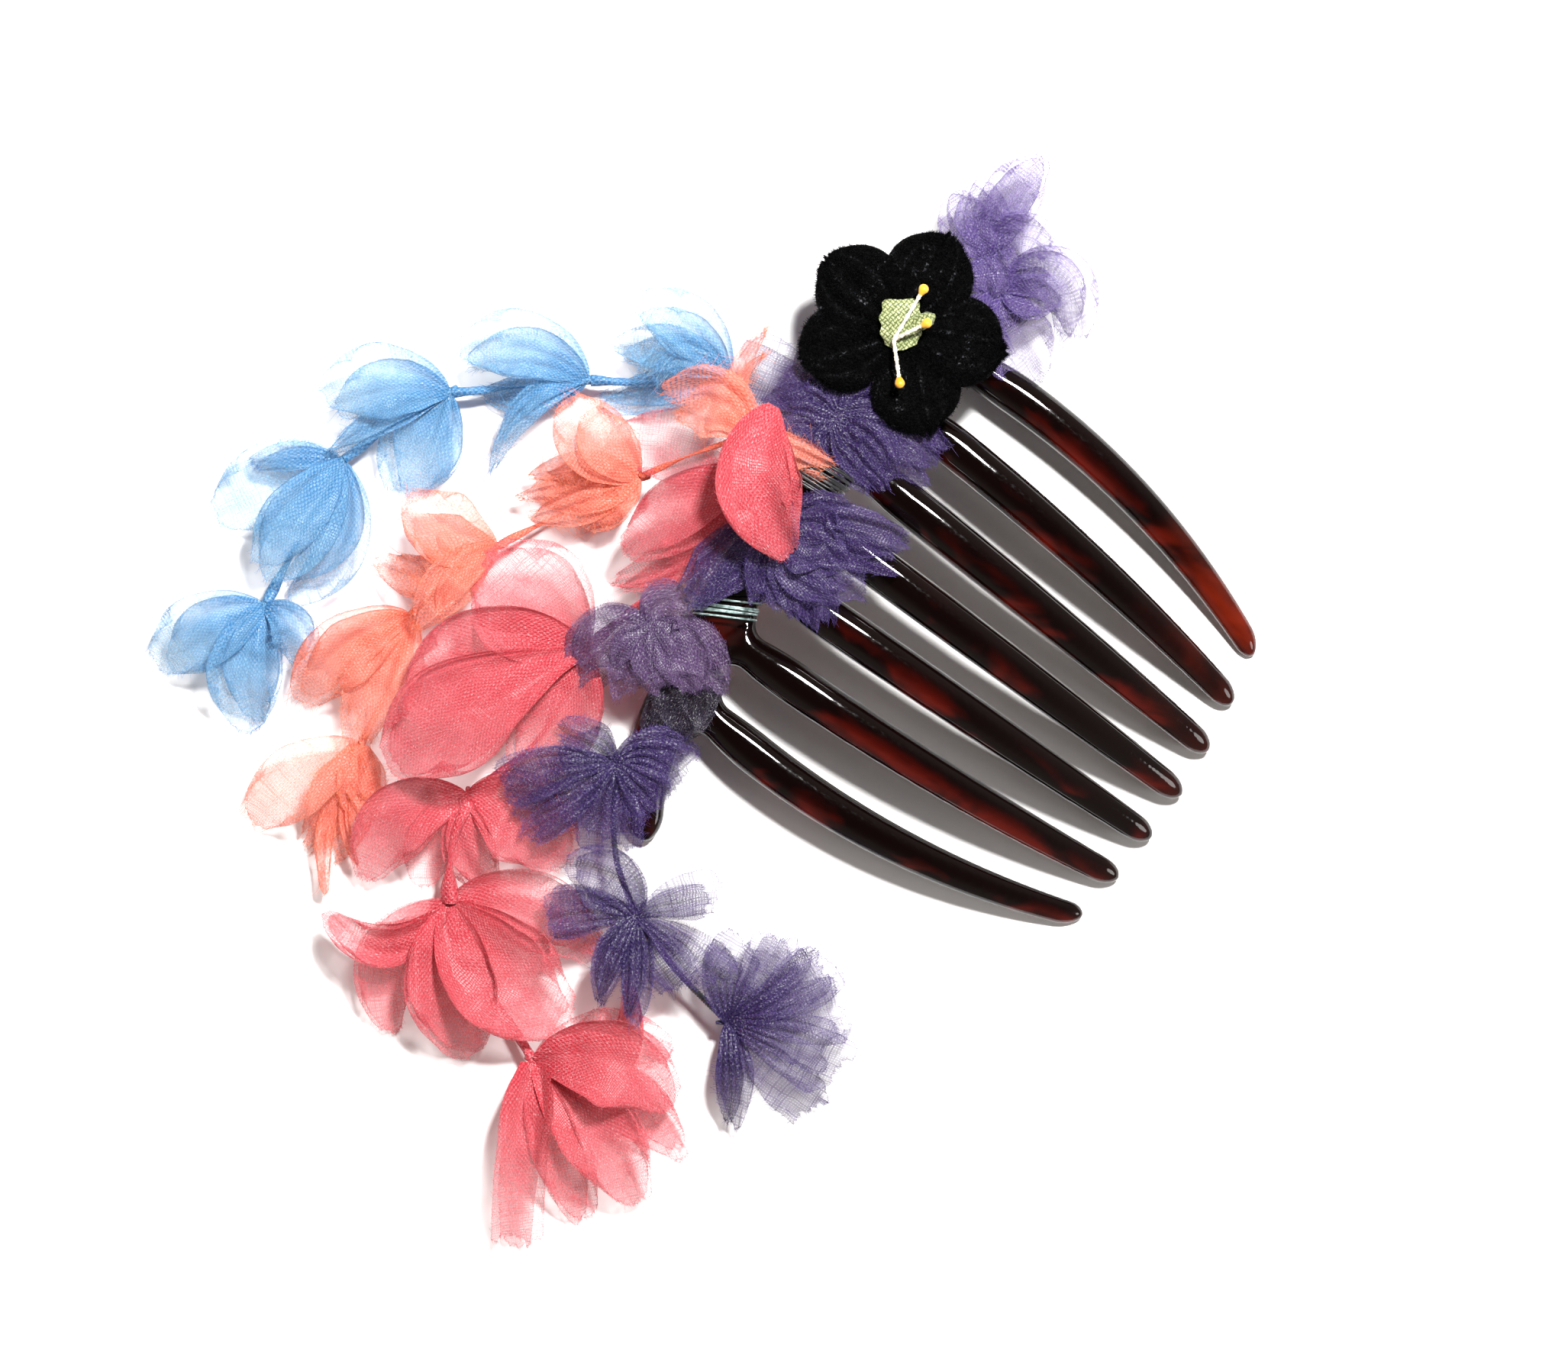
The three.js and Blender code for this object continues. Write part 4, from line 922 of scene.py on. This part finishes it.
# name: radius, blossom that it leaves, points, blossom that it ends in
STEMS = {
    f"{strand}_stem_{i}": (
        radius, f"{strand}_blossom_{i - 1}" if i > 1 else None, via, f"{strand}_blossom_{i}",
    )
    for strand, stems in CHAINS.items() for i, (radius, *via) in enumerate(stems, 1)
}
STEMS |= {
    "violet_stem_1": (0.55, None, [[-19.4, 12.2, 13.8], [-12, 11.2, 15.8]], "violet_cluster_2"),
    "violet_stem_2": (0.55, "violet_blossom_1", [[-59, 0.4, 9]], "violet_blossom_2"),
    "violet_stem_3": (0.55, "violet_blossom_2", [[-68.6, -18.4, 6.4]], "violet_blossom_3"),
    "flower_stem": (0.55, None, [[27.4, 9.4, 12.6], [32, 10.8, 12.4], [34.4, 12, 15.6]], None),
}
STEM_STEPS, IN_NECK = 400, 12  # points along a stem, and how many of them are left out inside a blossom
WIRE_THREAD, CLOTH_TURN = 0.5, 16  # mm of stem for each turn of the thread, or of the cloth


def stem(name, radius, start, via, end):
    points = list(via)
    if start:
        points.insert(0, BLOSSOMS[start][0])
    if end:
        points.append(BLOSSOMS[end][0])
    strand = name.split("_")[0]
    wrapped = strand in ("violet", "flower")
    path = curve_through(points, STEM_STEPS)
    keep = slice(IN_NECK if start else 0, -IN_NECK if end else None)
    length = np.linalg.norm(np.diff(path, axis=0), axis=1).sum()
    piece = Piece()
    if wrapped:  # fine thread wound close along the wire
        piece.tube(path[keep], radius * 0.9, 12, lobes=1, depth=0.1, twist=length / WIRE_THREAD)
        finish, material = "wire", FIBRE["wire"]
    else:  # a strip of the blossoms' own cloth, twisted round the wire
        share = np.linspace(0, 1, STEM_STEPS)[keep]
        swell = radius * (0.85 + 0.35 * np.cos(2 * np.pi * share) + 0.1 * np.sin(9 * share))
        piece.tube(path[keep], swell, 16, lobes=2, depth=0.14, twist=length / CLOTH_TURN)
        finish, material = strand, MATERIAL[strand]
    piece.make(name, "wound", material, finish)


# ---- thread bindings
# [x, y, slant, length along the spine, height above it, thread, turns] for each one.
WRAPS = {
    "thread_wrap_teal": [-17.2, 9, 28, 2.8, 1.9, "teal", 6],
    "thread_wrap_dark": [-29.6, 7.4, 30, 3.4, 1.7, "black", 9],
    "thread_wrap_black": [8.4, 9.6, 4, 5, 2.4, "bound", 14],
    "thread_wrap_silver": [17.4, 9.6, 6, 2.2, 2.6, "teal", 5],
    "thread_wrap_end": [30.4, 8, -8, 3, 0.9, "teal", 7],
}


THREAD_RADIUS = 0.17


def binding(name, x, y, slant, length, above, thread, turns, seed):
    rng = np.random.default_rng(seed)
    z = float(spine_axis(spine_share(x))[2])
    a = np.linspace(0, 2 * np.pi * turns, turns * 48)
    half, top, bottom = SPINE_WIDTH / 2 + 0.75, SPINE_HEIGHT / 2 + above, -SPINE_HEIGHT / 2 - 0.4

    def uneven(spacing):
        at = np.arange(0, a[-1] + 2, spacing)
        return np.interp(a, at, rng.normal(size=len(at)))

    loose = 1 + 0.05 * uneven(1.7)
    across = half * np.sign(np.cos(a)) * np.abs(np.cos(a)) ** 0.62 * loose
    rise = np.sign(np.sin(a)) * np.abs(np.sin(a)) ** 0.62 * loose
    height = np.where(rise > 0, rise * top, -rise * bottom)
    shift = length * (a / a[-1] - 0.5) + 0.28 * uneven(3.1)
    path = np.stack([shift, across, height], axis=1)
    c, s = math.cos(math.radians(slant)), math.sin(math.radians(slant))
    path = path @ np.array([[c, s, 0], [-s, c, 0], [0, 0, 1]]) + arr(x, y, z)
    piece = Piece()
    piece.tube(path, THREAD_RADIUS, 8, lobes=2, depth=0.16, twist=turns * 16)
    piece.make(name, "thread", FIBRE[thread], thread)


# ---- the velvet flower
VELVET_AT = arr(34.7, 12.1, 17.2)
VELVET_ANGLES = [10, 83, 142, -131, -65]
VELVET_START, VELVET_LENGTH, LOBE_RADIUS = 0.6, 16.2, 7.2
# half a petal's width at five distances from the middle
VELVET_REACH, VELVET_HALF = arr(0.6, 2.2, 5, 7.5, 9.5), arr(2.4, 3.0, 5.0, 6.7, LOBE_RADIUS)
PILE_COUNT, PILE_RADIUS = 9000, 0.035


def velvet_petal(number, angle, material):
    name = f"velvet_petal_{number}"
    rng = np.random.default_rng(700 + number)
    columns, rows = 54, 44
    s, t = np.linspace(-1, 1, columns)[None, :], np.linspace(0, 1, rows)[:, None]
    # a round lobe on a narrower foot, with a low wave in its outer edge
    foot_half = np.interp(VELVET_START + VELVET_LENGTH * t, VELVET_REACH, VELVET_HALF)
    lobe = LOBE_RADIUS * np.sqrt(np.clip(1 - ((t - 0.55) / 0.453) ** 2, 0.02, 1))
    half = np.where(t < 0.55, foot_half, np.minimum(foot_half, lobe))
    scallop = 0.4 * np.sin(2.6 * np.pi * s + number) + 0.05 * np.cumsum(rng.normal(size=columns))[None, :]
    out = VELVET_START + VELVET_LENGTH * t * (1 - 0.03 * s**2 * t**2) + scallop * t**3
    edge = np.maximum(np.abs(s), t)
    puff = 0.6 * np.sqrt(within(1 - edge**5))
    rib = np.exp(-((s / 0.13) ** 2)) + 0.7 * np.exp(-(((np.abs(s) - 0.48 - 0.1 * t) / 0.10) ** 2))
    crease = -0.5 * rib * np.sin(np.pi * within(t * 0.95)) + 0.1 * np.sin(11 * s + 5 * t + number)
    lie = 0.9 * t - 0.9 * t**2 - 0.9 * np.abs(s) ** 3 * t + crease + 0.5 * np.sin(number * 2.4) * s * t
    along, left = turned(angle), turned(angle + 90)
    lie = lie + 0.22 * (number % 3)
    middle = VELVET_AT + along * out[..., None] + left * (s * half)[..., None] + UP * lie[..., None]
    # painted highlight: the pile's tone is painted lighter along three narrow creases, where it would catch
    # the light
    creases = ((1, 0.15), (0.8, -0.42 - 0.1 * t), (0.7, 0.6))
    painted_light = sum(strength * np.exp(-(((s - at) / 0.03) ** 2)) for strength, at in creases)
    painted_light = painted_light * np.sin(np.pi * within(t * 1.05)) * (0.5 + 0.5 * np.sin(17 * t + 3 * number))
    piece = Piece()
    piece.grid(middle + UP * puff[..., None], tone=painted_light)
    piece.grid((middle - UP * puff[..., None])[:, ::-1], tone=0 * painted_light)
    # short pile all over, and longer at the cut edge
    count = PILE_COUNT
    i, j = rng.random(count) * (rows - 1.001), rng.random(count) * (columns - 1.001)
    i0, j0 = i.astype(int), j.astype(int)
    fi, fj = (i - i0)[:, None], (j - j0)[:, None]
    top = middle + UP * puff[..., None]
    foot = (
        top[i0, j0] * (1 - fi) * (1 - fj) + top[i0 + 1, j0] * fi * (1 - fj)
        + top[i0, j0 + 1] * (1 - fi) * fj + top[i0 + 1, j0 + 1] * fi * fj
    )
    near_edge = np.maximum(np.abs(2 * j / (columns - 1) - 1), i / (rows - 1)) > 0.93
    outwards = unit((foot - VELVET_AT - along * 9) * arr(1, 1, 0))
    lean = 0.55 * rng.normal(size=(count, 3)) * arr(1, 1, 0) + UP
    lean = lean + np.where(near_edge[:, None], 0.9, 0.1) * outwards
    size = rng.uniform(0.35, 0.75, count)
    u = np.linspace(0, 1, 3)[None, :, None]
    pile = Piece()
    pile.hairs(foot[:, None] + unit(lean)[:, None] * (size[:, None, None] * u), PILE_RADIUS, tone=0.0)
    made = piece.make(name, "cloth", material, "velvet", merge=0.01)
    hairs = pile.make(name, "pile", material, "velvet", in_place=False)


# angle, length, width, rise and place of each bit
RIBBON = [(36, 8.0, 6.6, 2.1, 0.6, 0.8), (-30, 4.6, 2.6, 2.5, 2.6, -1.6)]


def green_centre():
    """A gathered bit of woven green ribbon, its strands crossing over and under on the slant."""
    piece = Piece()
    for angle, length, width, rise, dx, dy in RIBBON:
        s, t = np.linspace(-1, 1, 90)[None, :], np.linspace(-1, 1, 100)[:, None]
        x = (length / 2) * t * (1 - 0.12 * s**2) + 0.25 * np.sin(3.1 * s + angle)
        y = (width / 2) * s * (1 - 0.20 * t**2) * (1 + 0.06 * np.sin(9 * t))
        p, q = (x + y) / 0.86, (x - y) / 0.86
        over = np.sin(np.pi * q) * np.sin(np.pi * p) > 0
        strands = np.abs(np.sin(np.pi * np.where(over, p, q))) ** 0.6
        dome = rise * np.sqrt(within(1 - 0.5 * t**2 - 0.5 * s**2))
        z = 0.8 + dome + 0.22 * strands + 0.3 * np.sin(2.4 * t + 1.2 * s)
        along, left = turned(angle), turned(angle + 90)
        points = VELVET_AT + arr(dx, dy, 0) + along * x[..., None] + left * y[..., None] + UP * z[..., None]
        # the tone paints shade into the hollows between the strands and light on their crowns
        piece.grid(points, tone=strands)
    made = piece.make("green_centre", "ribbon", FIBRE["green"], "green")


# where the head of each stamen is, and the foot of all three, from the flower's middle
STAMENS = {"stamen_1": [6.6, 1, 5.2], "stamen_2": [2.6, -2.4, 5.4], "stamen_3": [-7, -4.4, 4.4]}
STAMEN_FOOT = arr(-2.2, 0.2, 3.0)


def stamen(name, reach):
    foot = VELVET_AT + STAMEN_FOOT
    head = VELVET_AT + arr(*reach)
    bend = (foot + head) / 2 + UP * 0.5
    path = curve_through([foot, bend, head], 60)
    thread, pollen = Piece(), Piece()
    thread.tube(path, 0.3 + 0.05 * np.sin(np.linspace(0, 30, 60)), 10, lobes=2, depth=0.15, twist=7)
    tilt = unit(path[-1] - path[-6])
    share = np.linspace(0, 1, 24)
    bulb = head - tilt * 0.9 + tilt * (2.0 * share)[:, None]
    pollen.tube(bulb, 0.24 + 0.56 * np.sin(np.pi * share**1.5) ** 0.75, 16)
    thread.make(name, "thread", FIBRE["stamen"], "stamen")
    pollen.make(name, "head", FIBRE["pollen"], "pollen", in_place=False)


# ---- assembly
comb_piece()
for number, (node, (at, petals)) in enumerate(BLOSSOMS.items()):
    blossom(node, at, petals, 100 + number)
for node, facts in STEMS.items():
    stem(node, *facts)
for number, (node, facts) in enumerate(WRAPS.items()):
    binding(node, *facts, seed=40 + number)
black = velvet()
for number, angle in enumerate(VELVET_ANGLES):
    velvet_petal(number + 1, angle, black)
green_centre()
for node, reach in STAMENS.items():
    stamen(node, reach)

FLOOR_HALF = 3.0
corners = [(x * FLOOR_HALF, y * FLOOR_HALF, 0) for x, y in ((-1, -1), (1, -1), (1, 1), (-1, 1))]
floor_mesh = bpy.data.meshes.new("floor")
floor_mesh.from_pydata(corners, [], [(0, 1, 2, 3)])
floor_mesh.materials.append(floor_material())
floor = bpy.data.objects.new("floor", floor_mesh)
scene.collection.objects.link(floor)
